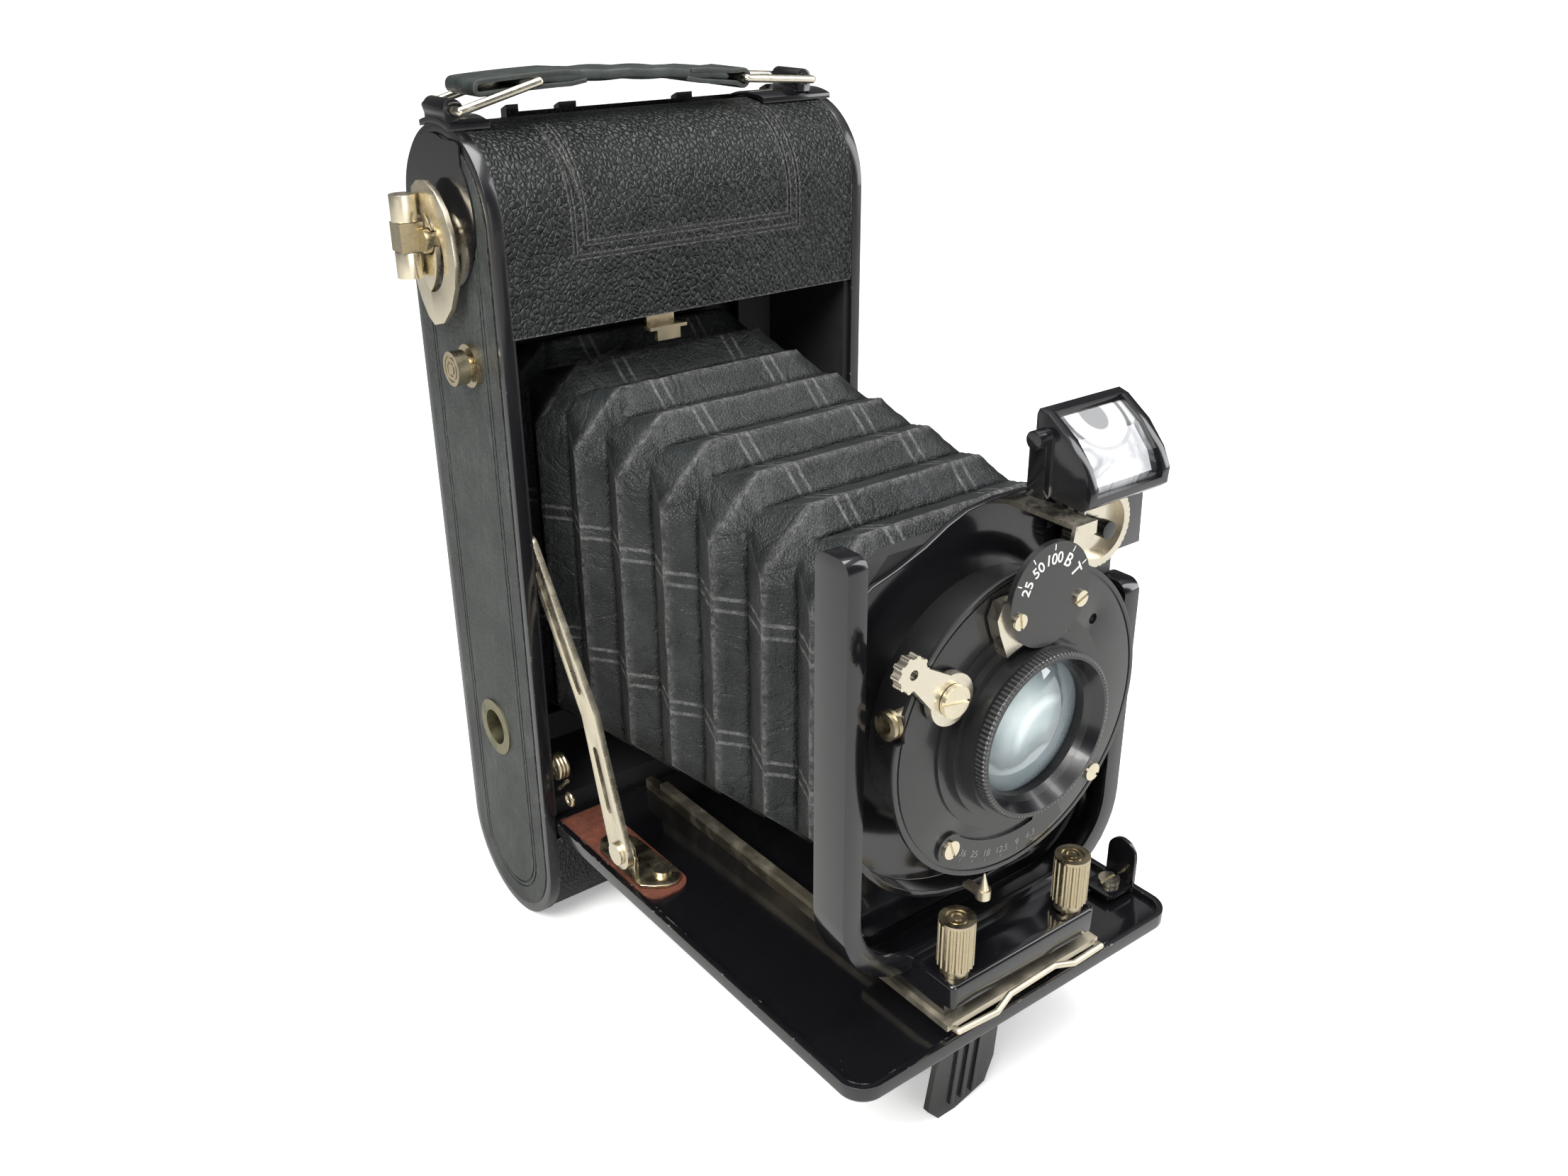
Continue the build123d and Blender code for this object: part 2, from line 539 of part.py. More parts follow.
def u_shell(wall, y0, y1):
    outer = u_outline(0, STD_LEFT_TOP, STD_RIGHT_TOP)
    inner = u_outline(wall, STD_LEFT_TOP, STD_RIGHT_TOP)
    return prism_y(outer + inner[::-1], y0, y1)


standard = u_shell(1.3, STD_FRONT, STD_REAR)
standard += u_shell(FLANGE, STD_FRONT, STD_FRONT + 1.0)
standard += u_shell(FLANGE, STD_REAR - 0.7, STD_REAR)
for x0, x1, top in ((-STD_HALF, -STD_HALF + FLANGE, STD_LEFT_TOP),
                    (STD_HALF - FLANGE, STD_HALF, STD_RIGHT_TOP)):
    standard += box(x0, x1, STD_FRONT, STD_REAR, top - 1.3, top)
    # rounded upper ends, seen from the side
    for y, side in ((STD_FRONT + END_R, -1), (STD_REAR - END_R, 1)):
        standard -= (box(x0 - 1, x1 + 1, y, y + side * 3, top - END_R, top + 1)
                     - rod_x(x0 - 2, x1 + 2, y, top - END_R, END_R))
standard -= rod_y(-84, -69, -STD_HALF + 5.0, STD_LEFT_TOP, 1.6)
save("standard_frame", standard)

carriage = round_front(box(-17.0, 17.0, -91.8, STD_REAR, 32.8, 37.2), 1.2)
carriage = round_edges(carriage, carriage.edges().group_by(Axis.Z)[-1], 0.7)
carriage += (box(-17.0, -12.5, -90.0, STD_REAR, TRACK_TOP + 0.05, 32.9)
             + box(12.5, 17.0, -90.0, STD_REAR, TRACK_TOP + 0.05, 32.9))
carriage -= prism_y(u_outline(0, 80, 80), STD_FRONT, STD_REAR + 1)
for side in (-1, 1):
    carriage -= box(side * 15.3, side * 10.4, -90.1, -86.9, 33.2, 38)
save("carriage", carriage)

# ---- lens board: arched plate between the uprights, outline (x, z) ----
BOARD_OUTLINE = [
    (-30.3, 49.5), (-30.3, 96.0), (-27.0, 101.2), (-22.9, 103.9), (-18.0, 105.4),
    (-12.6, 107.4), (-8.0, 109.8), (-4.2, 111.2), (1.7, 111.9), (7.9, 111.8),
    (14.4, 110.9), (18.0, 108.6), (30.3, 100.0), (30.3, 49.5), (22.0, 40.5), (-22.0, 40.5)]
BOARD_FRONT = -77.0
board = prism_y(BOARD_OUTLINE, BOARD_FRONT, -75.8)
board -= lens_rod(-80, -70, 19.0)
board -= box(28.3, 31.0, -78.0, -75.0, 90.1, 91.6)
# curved skirt under the shutter
skirt = prism_y(arc_points(0, LENS_Z, 33.6, 200, 340, 22)
                + arc_points(0, LENS_Z, 32.4, 200, 340, 22)[::-1], -81.0, BOARD_FRONT)
skirt &= box(-28.3, 28.3, -90, -70, 44.2, 80)
save("lens_board", board + skirt)

# ---- shutter and lens ----
CABLE = (-84.0, 85.2)         # (y, z) of the cable release socket
SOCKET_R = 1.7
# (x, z) places on the shutter front
FACE_SCREWS = [(18.5, 61.5), (-14.4, 60.3)]
DIAL_SCREWS = [(-6.0, 98.4), (7.2, 98.4)]
PIN_HOLE = (15.2, 91.0)
FACE_SCREW_R, DIAL_SCREW_R, PIN_HOLE_R = 1.6, 1.3, 0.9
SCREW_SEAT = FACE_Y + 0.6
GLASS_R = 11.2
bore = lens_rod(-90, -70, 11.6)

drum = lens_rod(FACE_BACK, BOARD_FRONT, 23.0) - bore
drum -= rod_x(-30, -20.5, *CABLE, SOCKET_R + 0.02)
rear_tube = lens_rod(BOARD_FRONT, -70.2, 13.0) - lens_rod(-78, -70, 10.0)
save("shutter_drum", drum, rear_tube)

face = lens_rod(FACE_Y, FACE_BACK, FACE_R)
face -= box(-30, -24.5, -87, -84, 82.9, 87.5)
face -= (lens_rod(FACE_Y - 0.2, FACE_Y + 0.25, 25.8)
         - lens_rod(FACE_Y - 0.3, FACE_Y + 0.3, 25.45))
face -= bore
for place in FACE_SCREWS:
    face -= rod_y(-88, SCREW_SEAT, *place, FACE_SCREW_R)
face -= rod_y(-88, SCREW_SEAT, *PIN_HOLE, PIN_HOLE_R)
save("shutter_face", face)

# plate with a crescent tail, carrying the stepped barrel
tail = (arc_points(0, LENS_Z, 24.2, 229, 298, 14) + arc_points(0, LENS_Z, 16.5, 298, 286, 4)
        + arc_points(0, LENS_Z, 20.2, 282, 229, 10))
plate = prism_y(tail, PLATE_Y, FACE_Y) + lens_rod(PLATE_Y, FACE_Y, 18.0)
plate += rod_y(PLATE_Y, FACE_Y, *FACE_SCREWS[1], 2.6)
plate -= bore
plate -= rod_y(-88, -86, *FACE_SCREWS[1], FACE_SCREW_R)
plate -= rod_y(-88, -86, *PIN_HOLE, PIN_HOLE_R)
BARREL_FRONT = -90.6
cone = Pos(0, -91.0, LENS_Z) * Rot(90, 0, 0) * Cone(GLASS_R, 12.9, 2.9)
barrel = lens_rod(BARREL_FRONT, PLATE_Y, 14.6) + lens_rod(-88.2, PLATE_Y, 16.0)
barrel -= lens_rod(-91, -86, GLASS_R) + cone
save("lens_barrel", plate + barrel)
ring = lens_rod(-92.4, BARREL_FRONT, 13.9)
ring = round_edges(ring, ring.edges().group_by(Axis.Y)[0], 0.4)
ring -= cone
ring -= lens_rod(-93, -88, GLASS_R)
save("lens_ring", ring)

front_ball = Pos(0, BARREL_FRONT + 24.0, LENS_Z) * Sphere(24.0)
rear_ball = Pos(0, -70.9 - 26.0, LENS_Z) * Sphere(26.0)
save("lenses", front_ball & lens_rod(-92, -86.8, GLASS_R), rear_ball & lens_rod(-76, -70, 10.0))

# speed dial on its flared base, and a tab above; outlines (x, z)
DIAL_BACK = -89.1
dial = rod_y(-90.1, DIAL_BACK, 0.6, 100.75, 8.4)
for place in DIAL_SCREWS:
    dial -= rod_y(-91, -89.0, *place, DIAL_SCREW_R)
save("speed_dial", dial)
DIAL_BASE_OUTLINE = [
    (-9.4, 99.0), (-8.6, 96.4), (-6.8, 92.2), (-3.0, 91.6), (3.0, 91.6), (5.8, 92.4),
    (8.6, 96.0), (9.6, 99.2), (8.6, 101.4), (-8.4, 101.4)]
dial_base = prism_y(DIAL_BASE_OUTLINE, DIAL_BACK, PLATE_Y)
dial_base -= lens_rod(-90, -86, 16.05)
dial_base -= rod_y(-88, -86, *PIN_HOLE, PIN_HOLE_R)
for place in DIAL_SCREWS:
    dial_base -= rod_y(-91, -88.6, *place, DIAL_SCREW_R)
tab = prism_y([(3.6, 108.6), (5.0, 108.4), (8.6, 108.9), (8.6, 111.0), (4.0, 111.0)],
              -90.9, -90.2)
tab += box(4.2, 8.4, -91.0, -77.05, 110.2, 111.0)
save("dial_base", dial_base, tab)

# cocking lever, its pivot screw and the slotted screws
COCK_PIVOT, COCK_KNOB = (-17.3, 88.6), (-25.3, 95.4)   # (x, z)
COCK_Y = (-88.55, -87.1)
# x, z, head y, seat y, radius, slot angle
SLOT_SCREWS = [
    (*FACE_SCREWS[0], -87.0, SCREW_SEAT, FACE_SCREW_R, 35),
    (*FACE_SCREWS[1], -87.4, SCREW_SEAT, FACE_SCREW_R, 70),
    (*DIAL_SCREWS[0], -90.6, DIAL_BACK, DIAL_SCREW_R, 80),
    (*DIAL_SCREWS[1], -90.6, DIAL_BACK, DIAL_SCREW_R, -20)]
screws = [rod_y(y0, y1, x, z, radius)
          - Pos(x, y0, z) * Rot(0, angle, 0) * Box(2 * radius + 1, 0.7, 0.45)
          for x, z, y0, y1, radius, angle in SLOT_SCREWS]
pivot_screw = rod_y(-88.6, FACE_Y, *COCK_PIVOT, 1.5) + rod_y(-89.6, -88.65, *COCK_PIVOT, 2.6)
pivot_screw -= Pos(COCK_PIVOT[0], -89.6, COCK_PIVOT[1]) * Rot(0, 10, 0) * Box(6, 0.9, 0.55)
save("shutter_screws", *screws, pivot_screw)

cocking = rod_y(*COCK_Y, *COCK_PIVOT, 4.2)
cocking += prism_y(taper_points(COCK_PIVOT, COCK_KNOB, 3.4, 1.5), *COCK_Y)
knob = rod_y(-88.8, -87.1, *COCK_KNOB, 2.55)
for place in ring_points(*COCK_KNOB, 2.5, 10):
    knob += rod_y(-88.8, -87.1, *place, 0.45)
cocking += knob
cocking -= rod_y(-90, -86, *COCK_KNOB, 0.8)
cocking -= rod_y(-90, -86, *COCK_PIVOT, 1.55)
save("cocking_lever", cocking)

socket = rod_x(-26.2, -20.6, *CABLE, SOCKET_R) + rod_x(-26.2, -24.6, *CABLE, 2.0)
for x in (-25.9, -24.9):
    socket += rod_x(x - 0.3, x + 0.3, *CABLE, 2.25)
socket -= rod_x(-27, -21.8, *CABLE, 1.25)
save("cable_socket", socket)
pointer = Pos(-4.4, -85.2, 48.6) * Cone(0.95, 0.12, 3.2) + rod_z(45.4, 47.1, -4.4, -85.2, 1.3)
pointer += box(-5.2, -3.6, -85.2, -81.2, 45.6, 46.4)
save("aperture_pointer", pointer)

# ---- finder bracket, turning wheel and finder ----
WHEEL = (21.6, 103.3)         # (x, z)
BRACKET_Y = (-78.0, BOARD_FRONT)
bracket = prism_y([(16.5, 96.0), (36.0, 96.0), (35.6, 107.0), (31.0, 111.5), (16.5, 111.5)],
                  *BRACKET_Y)
bracket -= lens_rod(-90, -70, 26.3)
# hooked fold at the left, outline (x, y)
fold = prism_z([(12.6, -77.0), (12.6, -81.5), (13.5, -83.0), (14.9, -83.2), (15.2, -82.3),
                (14.0, -81.6), (13.7, -80.4), (13.7, -77.0)], 105.6, 109.6)
save("finder_bracket", bracket + (fold + box(12.6, 16.6, *BRACKET_Y, 104.4, 111.8)),
     rod_y(-83.0, -78.0, *WHEEL, 1.5))
wheel = rod_y(-81.4, -79.0, *WHEEL, 6.8) - rod_y(-83, -79.8, *WHEEL, 5.4)
for place in ring_points(*WHEEL, 6.95, 40):
    wheel -= rod_y(-82, -78.8, *place, 0.3)
wheel -= rod_y(-83, -78, *WHEEL, 1.55)
save("turning_wheel", wheel)

# tapering box, its glass tilted up to the front; outlines (y, z)
FINDER_X0, FINDER_X1 = 8.0, 26.0
FINDER_SIDE = [
    (-78.2, 124.2), (-78.6, 125.1), (-80.5, 124.6), (-85.0, 121.6), (-88.3, 118.0),
    (-89.8, 115.0), (-89.6, 112.4), (-88.4, 111.4), (-78.2, 112.2)]
FINDER_HOLLOW = [
    (-79.2, 122.6), (-79.4, 123.9), (-80.6, 123.5), (-84.3, 121.0), (-87.4, 117.6),
    (-88.7, 114.8), (-88.5, 113.2), (-87.9, 112.5), (-79.2, 113.3)]
FINDER_OPENING = [
    (-80.3, 127.0), (-91.0, 119.0), (-92.5, 113.6), (-88.0, 113.6), (-80.3, 122.6)]
FINDER_GLASS = [
    (-79.5, 123.8), (-80.6, 123.45), (-84.25, 120.95), (-87.35, 117.57), (-88.62, 114.8),
    (-88.4, 113.4), (-87.7, 113.5), (-87.8, 114.7), (-86.7, 117.0), (-83.8, 120.2),
    (-80.4, 122.6)]
FINDER_MIRROR = [(-79.4, 120.2), (-79.4, 119.3), (-85.6, 113.1), (-86.5, 113.1)]


def finder_prism(outline, inset):
    return prism_x(outline, FINDER_X0 + inset, FINDER_X1 - inset)


finder = finder_prism(FINDER_SIDE, 0)
finder -= finder_prism(FINDER_HOLLOW, 1.0)
finder -= finder_prism(FINDER_OPENING, 1.6)
save("finder_window", finder_prism(FINDER_GLASS, 1.05))
save("finder_mirror", finder_prism(FINDER_MIRROR, 1.05))
ARM_Y = (-79.0, -78.4)
arm = box(FINDER_X0 - 1.2, FINDER_X0 + 0.1, -81.6, -78.2, 111.6, 121.0)
arm = arm + rod_x(FINDER_X0 - 2.6, FINDER_X0, -80.2, 121.0, 1.5)
arm += (box(FINDER_X0 + 6.0, 23.0, *ARM_Y, 108.6, 112.6) + rod_y(*ARM_Y, *WHEEL, 3.6)
        + box(17.6, 22.6, *ARM_Y, 103.0, 110.0))
arm -= rod_y(-83, -78, *WHEEL, 1.55)
arm -= lens_rod(-90, -70, 27.7)
save("finder_body", finder + arm)

# ---- squeeze knobs on the carriage ----
KNOB_Y = -88.5


def squeeze_knob(x):
    body = rod_z(38.8, 47.8, x, KNOB_Y, 3.05)
    for place in ring_points(x, KNOB_Y, 3.15, 18):
        body -= rod_z(38.7, 47.3, *place, 0.36)
    body += rod_z(37.25, 38.9, x, KNOB_Y, 2.45)
    body += rod_z(33.6, 37.3, x, KNOB_Y, 1.2)
    for radius in (0.9, 1.8):
        body -= (rod_z(47.5, 48.2, x, KNOB_Y, radius + 0.22)
                 - rod_z(47.4, 48.3, x, KNOB_Y, radius - 0.22))
    return body


save("knob_left", squeeze_knob(-13.5))
save("knob_right", squeeze_knob(13.5))
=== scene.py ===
"""A folding bellows camera, standing open with its bed let down.

x runs across the body, y from the lens (negative) to the back (positive), z up.
Places given to at() are in mm from the ground under the middle of the body; its front
is at y 0. Sizes in materials, modifiers, lights and the stage are in metres.
"""
import math

import bpy
import bmesh
from mathutils import Matrix, Vector

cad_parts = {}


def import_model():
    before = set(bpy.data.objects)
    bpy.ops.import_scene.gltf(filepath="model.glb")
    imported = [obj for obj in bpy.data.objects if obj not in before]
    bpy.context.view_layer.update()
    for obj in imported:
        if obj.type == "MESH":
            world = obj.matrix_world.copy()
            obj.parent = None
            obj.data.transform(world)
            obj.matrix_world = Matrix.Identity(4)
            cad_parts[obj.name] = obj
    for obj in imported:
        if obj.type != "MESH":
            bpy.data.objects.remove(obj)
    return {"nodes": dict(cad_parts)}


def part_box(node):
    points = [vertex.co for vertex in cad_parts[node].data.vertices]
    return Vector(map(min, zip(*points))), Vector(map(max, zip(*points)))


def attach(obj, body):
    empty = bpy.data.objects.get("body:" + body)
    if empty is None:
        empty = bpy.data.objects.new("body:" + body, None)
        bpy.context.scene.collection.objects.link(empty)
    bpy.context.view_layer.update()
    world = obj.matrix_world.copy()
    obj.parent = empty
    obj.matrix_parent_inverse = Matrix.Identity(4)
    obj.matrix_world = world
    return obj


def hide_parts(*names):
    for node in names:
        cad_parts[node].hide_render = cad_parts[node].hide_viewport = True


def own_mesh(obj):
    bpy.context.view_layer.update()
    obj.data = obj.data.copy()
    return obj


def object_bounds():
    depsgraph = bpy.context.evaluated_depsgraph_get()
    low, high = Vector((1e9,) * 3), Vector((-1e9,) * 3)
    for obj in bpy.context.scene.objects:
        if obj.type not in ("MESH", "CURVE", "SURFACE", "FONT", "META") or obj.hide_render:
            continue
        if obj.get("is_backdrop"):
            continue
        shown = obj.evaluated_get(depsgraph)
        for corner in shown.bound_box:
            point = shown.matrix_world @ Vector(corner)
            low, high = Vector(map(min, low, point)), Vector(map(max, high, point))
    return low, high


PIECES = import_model()["nodes"]


def plain(value):
    """Bounds as plain nested lists."""
    if isinstance(value, dict):
        return {key: plain(item) for key, item in value.items()}
    if isinstance(value, (int, float, str)) or value is None:
        return value
    return [plain(item) for item in value]


sizes = {"cad": plain(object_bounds())}

# The lower corner of the side caps is the body's own corner, half a body from the middle.
HALF_BODY = 0.040
caps_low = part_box("side_caps")[0]
ORIGIN = Vector((caps_low.x + HALF_BODY, caps_low.y, caps_low.z))

RING_LOW, RING_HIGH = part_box("lens_ring")
RING_MID = (RING_LOW + RING_HIGH) / 2


def at(x, y, z):
    """Scene point for a place in mm."""
    return Vector((x, y, z)) / 1000.0 + ORIGIN


def lerp(start, end, share):
    return start + (end - start) * share


# ------------------------------------------------------------------ shader graphs
class Graph:
    """Short ways to add nodes to a node tree."""

    def __init__(self, tree):
        self.tree = tree

    def feed(self, socket, value):
        """Link a socket to an input, or set the input's value."""
        if isinstance(value, bpy.types.NodeSocket):
            self.tree.links.new(value, socket)
        elif isinstance(value, (tuple, list)) and len(value) == 3 and socket.type == "RGBA":
            socket.default_value = (*value, 1)
        else:
            socket.default_value = value

    def node(self, kind, inputs=None, **settings):
        node = self.tree.nodes.new("ShaderNode" + kind)
        for key, value in settings.items():
            setattr(node, key, value)
        for key, value in (inputs or {}).items():
            self.feed(node.inputs[key], value)
        return node

    def ramp(self, value, stops):
        """Colour ramp through (position, colour or grey level) stops."""
        node = self.node("ValToRGB", {0: value})
        elements = node.color_ramp.elements
        while len(elements) < len(stops):
            elements.new(0.5)
        for element, (position, colour) in zip(elements, stops):
            element.position = position
            grey = (colour, colour, colour)
            element.color = (*(colour if isinstance(colour, tuple) else grey), 1)
        return node.outputs[0]

    def mix(self, amount, under, over):
        return self.node("Mix", {0: amount, 6: under, 7: over}, data_type="RGBA").outputs[2]


class Shader(Graph):
    """A Principled material, textured in object space."""

    def __init__(self, name):
        self.material = bpy.data.materials.new(name)
        self.material.use_nodes = True
        super().__init__(self.material.node_tree)
        self.tree.nodes.clear()
        output = self.node("OutputMaterial")
        self.surface = self.node("BsdfPrincipled")
        self.feed(output.inputs[0], self.surface.outputs[0])
        self.place = self.node("TexCoord").outputs["Object"]

    def set(self, **inputs):
        """Feed inputs of the surface, spaces written as underscores."""
        for key, value in inputs.items():
            self.feed(self.surface.inputs[key.replace("_", " ")], value)
        return self.material

    # arithmetic
    def math(self, operation, first, second=0.0):
        return self.node("Math", {0: first, 1: second}, operation=operation).outputs[0]

    def add(self, first, second):
        return self.math("ADD", first, second)

    def sub(self, first, second):
        return self.math("SUBTRACT", first, second)

    def mul(self, first, second):
        return self.math("MULTIPLY", first, second)

    def vary(self, value, span, base):
        """base + span * value"""
        return self.add(self.mul(value, span), base)

    def gap(self, value, centre):
        """Unsigned difference from centre."""
        return self.math("ABSOLUTE", self.sub(value, centre))

    def hypot(self, across, up):
        squares = [self.math("POWER", side, 2.0) for side in (across, up)]
        return self.math("SQRT", self.add(*squares))

    def rise(self, value, start, end, low=0.0, high=1.0):
        return self.ramp(value, [(start, low), (end, high)])

    def fall(self, value, start, end, high=1.0):
        return self.ramp(value, [(start, high), (end, 0.0)])

    # textures
    def axes(self):
        """x and z of the shaded point."""
        outputs = self.node("SeparateXYZ", {0: self.place}).outputs
        return outputs[0], outputs[2]

    def stretched(self, scale, turn=(0, 0, 0)):
        inputs = {"Vector": self.place, "Scale": scale, "Rotation": turn}
        return self.node("Mapping", inputs).outputs[0]

    def noise(self, scale, detail=3, rough=0.5, place=None, distortion=0.0):
        return self.node("TexNoise", {
            "Vector": place or self.place, "Scale": scale, "Detail": detail,
            "Roughness": rough, "Distortion": distortion}).outputs["Fac"]

    def cells(self, scale, place=None, feature="DISTANCE_TO_EDGE"):
        inputs = {"Vector": place or self.place, "Scale": scale}
        return self.node("TexVoronoi", inputs, feature=feature).outputs["Distance"]

    def attribute(self, name):
        return self.node("Attribute", attribute_name=name).outputs["Fac"]

    def edges(self, radius, sharp, flat):
        """1 on convex and concave edges, 0 on flats, by how far the normal turns."""
        rounded = self.node("Bevel", {"Radius": radius}, samples=6).outputs[0]
        normal = self.node("NewGeometry").outputs["Normal"]
        turn = self.node("VectorMath", {0: rounded, 1: normal}, operation="DOT_PRODUCT")
        return self.fall(turn.outputs["Value"], start=sharp, end=flat)

    def bump(self, height, strength, depth, under=None):
        inputs = {"Height": height, "Strength": strength, "Distance": depth}
        if under is not None:
            inputs["Normal"] = under
        return self.node("Bump", inputs).outputs[0]


# ------------------------------------------------------------------ materials
# Bare factors in mul() weigh one texture against the others.
def enamel(name, wear=0.0, rough=0.13, base=(0.0045, 0.0045, 0.0055), dust=1.0):
    """Black enamel with specks of dust; wear chips its edges to bare metal."""
    mat = Shader(name)
    smear = mat.noise(scale=90, detail=4, rough=0.6)
    fine = mat.noise(scale=2600, detail=2, rough=0.7)
    dots = mat.fall(mat.cells(scale=900, feature="F1"), start=0.03, end=0.07)
    patches = mat.rise(mat.noise(scale=260, detail=2), start=0.56, end=0.66)
    specks = mat.mul(mat.mul(dots, patches), 0.5 * dust)
    colour = mat.mix(specks, base, over=(0.16, 0.16, 0.165))
    gloss = mat.vary(smear, span=0.12, base=rough - 0.05)
    if wear > 0:
        edges = mat.edges(radius=0.0006, sharp=0.80, flat=0.96)
        chips = mat.rise(mat.noise(scale=230, detail=6, rough=0.8),
                         start=0.66 - 0.08 * wear, end=0.69 - 0.08 * wear)
        bare = mat.mul(edges, chips)
        colour = mat.mix(bare, colour, over=(0.52, 0.50, 0.46))
        mat.set(Metallic=mat.mul(bare, 0.8))
        gloss = mat.add(gloss, mat.mul(bare, 0.25))
    return mat.set(Base_Color=colour, Roughness=gloss, Specular_IOR_Level=0.5,
                   Coat_Weight=0.25, Coat_Roughness=0.06,
                   Normal=mat.bump(fine, strength=0.05, depth=0.00004))


def pebbled_leather():
    """Coarse leather of domed cells, greyed on worn tops and edges, with painted shade in the
    grooves.
    """
    mat = Shader("pebbled_leather")
    ripple = mat.node("TexNoise", {"Vector": mat.place, "Scale": 560}).outputs["Color"]
    shift = mat.node("VectorMath", {0: ripple, "Scale": 0.0008}, operation="SCALE").outputs[0]
    slanted = mat.stretched(scale=(1.15, 0.9, 0.85), turn=(0, math.radians(28), 0))
    warped = mat.node("VectorMath", {0: slanted, 1: shift}, operation="ADD").outputs[0]
    cells = mat.cells(scale=960, place=warped)
    dome = mat.ramp(cells, [(0.0, 0.0), (0.12, 0.55), (0.36, 1.0)])
    broad = mat.noise(scale=260, detail=4, rough=0.6)
    height = mat.add(mat.mul(dome, 0.8), mat.mul(broad, 0.9))
    worn = mat.rise(mat.noise(scale=60, detail=4, rough=0.65), start=0.46, end=0.72)
    tops = mat.mul(mat.mul(dome, worn), 0.40)
    colour = mat.mix(tops, under=(0.0042, 0.0054, 0.0051), over=(0.048, 0.054, 0.051))
    # painted shade: the grooves between the pebbles darkened
    groove_shade = mat.fall(cells, start=0.0, end=0.09, high=0.75)
    colour = mat.mix(groove_shade, colour, over=(0.0015, 0.002, 0.002))
    edges = mat.mul(mat.edges(radius=0.0007, sharp=0.82, flat=0.98), 0.45)
    colour = mat.mix(edges, colour, over=(0.14, 0.14, 0.135))
    pebbles = mat.bump(height, strength=0.85, depth=0.00042)
    pores = mat.bump(mat.noise(scale=3800), strength=0.22, depth=0.00005, under=pebbles)
    return mat.set(Base_Color=colour, Roughness=mat.vary(broad, span=0.22, base=0.3),
                   Normal=pores, Specular_IOR_Level=0.32)


def side_leather():
    """Worn leather with fine ribs, streaked pale where rubbed."""
    mat = Shader("side_leather_worn")
    ribs = mat.noise(scale=1.0, detail=5, rough=0.75,
                     place=mat.stretched(scale=(1, 1300, 150)), distortion=0.25)
    cells = mat.cells(scale=1300, place=mat.stretched(scale=(1, 1.25, 0.5)))
    dome = mat.rise(cells, start=0.0, end=0.22)
    height = mat.add(mat.mul(ribs, 0.9), mat.mul(dome, 0.5))
    worn = mat.rise(mat.noise(scale=60, detail=6, rough=0.75), start=0.38, end=0.75)
    streaks = mat.rise(ribs, start=0.42, end=0.62)
    rubbed = mat.mul(worn, mat.vary(streaks, span=0.5, base=0.15))
    colour = mat.mix(rubbed, under=(0.014, 0.017, 0.016), over=(0.080, 0.089, 0.083))
    edges = mat.mul(mat.edges(radius=0.0003, sharp=0.8, flat=0.98), 0.4)
    colour = mat.mix(edges, colour, over=(0.075, 0.08, 0.078))
    return mat.set(Base_Color=colour, Roughness=0.5, Specular_IOR_Level=0.4,
                   Normal=mat.bump(height, strength=0.85, depth=0.00020))


def metal(name, base, dark, rough, tarnish, bumps, edge_colour=None):
    """Plate or solid metal with dull tarnish spots and, if given, bright edges."""
    mat = Shader(name)
    spots = mat.rise(mat.noise(scale=210, detail=5, rough=0.62), start=0.46, end=0.78)
    dulled = mat.mul(spots, tarnish)
    colour = mat.mix(dulled, base, dark)
    if edge_colour:
        edges = mat.mul(mat.edges(radius=0.00025, sharp=0.82, flat=0.97), 0.6)
        colour = mat.mix(edges, colour, edge_colour)
    grain = mat.vary(mat.noise(scale=1500, detail=2), span=0.1, base=rough - 0.05)
    return mat.set(Base_Color=colour, Roughness=mat.vary(spots, span=0.22, base=grain),
                   Metallic=mat.sub(1.0, mat.mul(dulled, 0.35)),
                   Normal=mat.bump(mat.noise(scale=1900), strength=bumps, depth=0.00006))


def bellows_cloth():
    """Leathercloth, rubbed on the ridges, with pairs of ruled lines along each flat.

    Reads the mesh attributes wear (ridges), the painted valley shade (1 in the valleys)
    and line (metres from the middle of a flat).
    """
    mat = Shader("bellows_leathercloth")
    wear = mat.attribute("wear")
    valley_shade = mat.attribute("valley_shade")
    line = mat.attribute("line")
    # lines 1.1 mm to either side of 12.5 mm out, on both halves of the flat
    from_pair = mat.gap(mat.math("ABSOLUTE", line), 0.0125)
    from_line = mat.gap(from_pair, 0.0011)
    ruled = mat.fall(mat.mul(from_line, 1000), start=0.20, end=0.42)
    broad = mat.noise(scale=330, detail=5, rough=0.65)
    grain = mat.cells(scale=1700)
    speck = mat.noise(scale=1500, detail=4, rough=0.75)
    scuff = mat.rise(mat.noise(scale=900, detail=5, rough=0.8), start=0.42, end=0.62)
    soft = mat.rise(mat.noise(scale=120, detail=4, rough=0.6), start=0.35, end=0.7)
    colour = mat.mix(soft, under=(0.0042, 0.0052, 0.0054), over=(0.014, 0.0165, 0.0165))
    colour = mat.mix(mat.mul(ruled, mat.vary(scuff, span=0.6, base=0.3)), colour,
                     over=(0.092, 0.093, 0.089))
    rubbed = mat.mul(mat.mul(wear, wear), mat.vary(scuff, span=0.65, base=0.10))
    colour = mat.mix(rubbed, colour, over=(0.11, 0.109, 0.104))
    # painted shade: the valleys of the folds darkened to near black
    colour = mat.mix(mat.mul(valley_shade, 0.75), colour, over=(0.004, 0.0045, 0.005))
    capped_grain = mat.math("MINIMUM", grain, 0.3)
    height = mat.add(mat.mul(broad, 0.9), mat.mul(capped_grain, 1.3))
    height = mat.add(height, mat.mul(ruled, -0.35))
    crease = mat.gap(mat.noise(scale=95, rough=0.55, distortion=1.2), 0.5)
    creases = mat.bump(mat.rise(crease, start=0.0, end=0.07), strength=0.35, depth=0.00045)
    weave = mat.bump(height, strength=0.6, depth=0.00032, under=creases)
    return mat.set(Base_Color=colour, Roughness=mat.vary(speck, span=0.2, base=0.42),
                   Normal=mat.bump(speck, strength=0.3, depth=0.00009, under=weave),
                   Specular_IOR_Level=0.34)


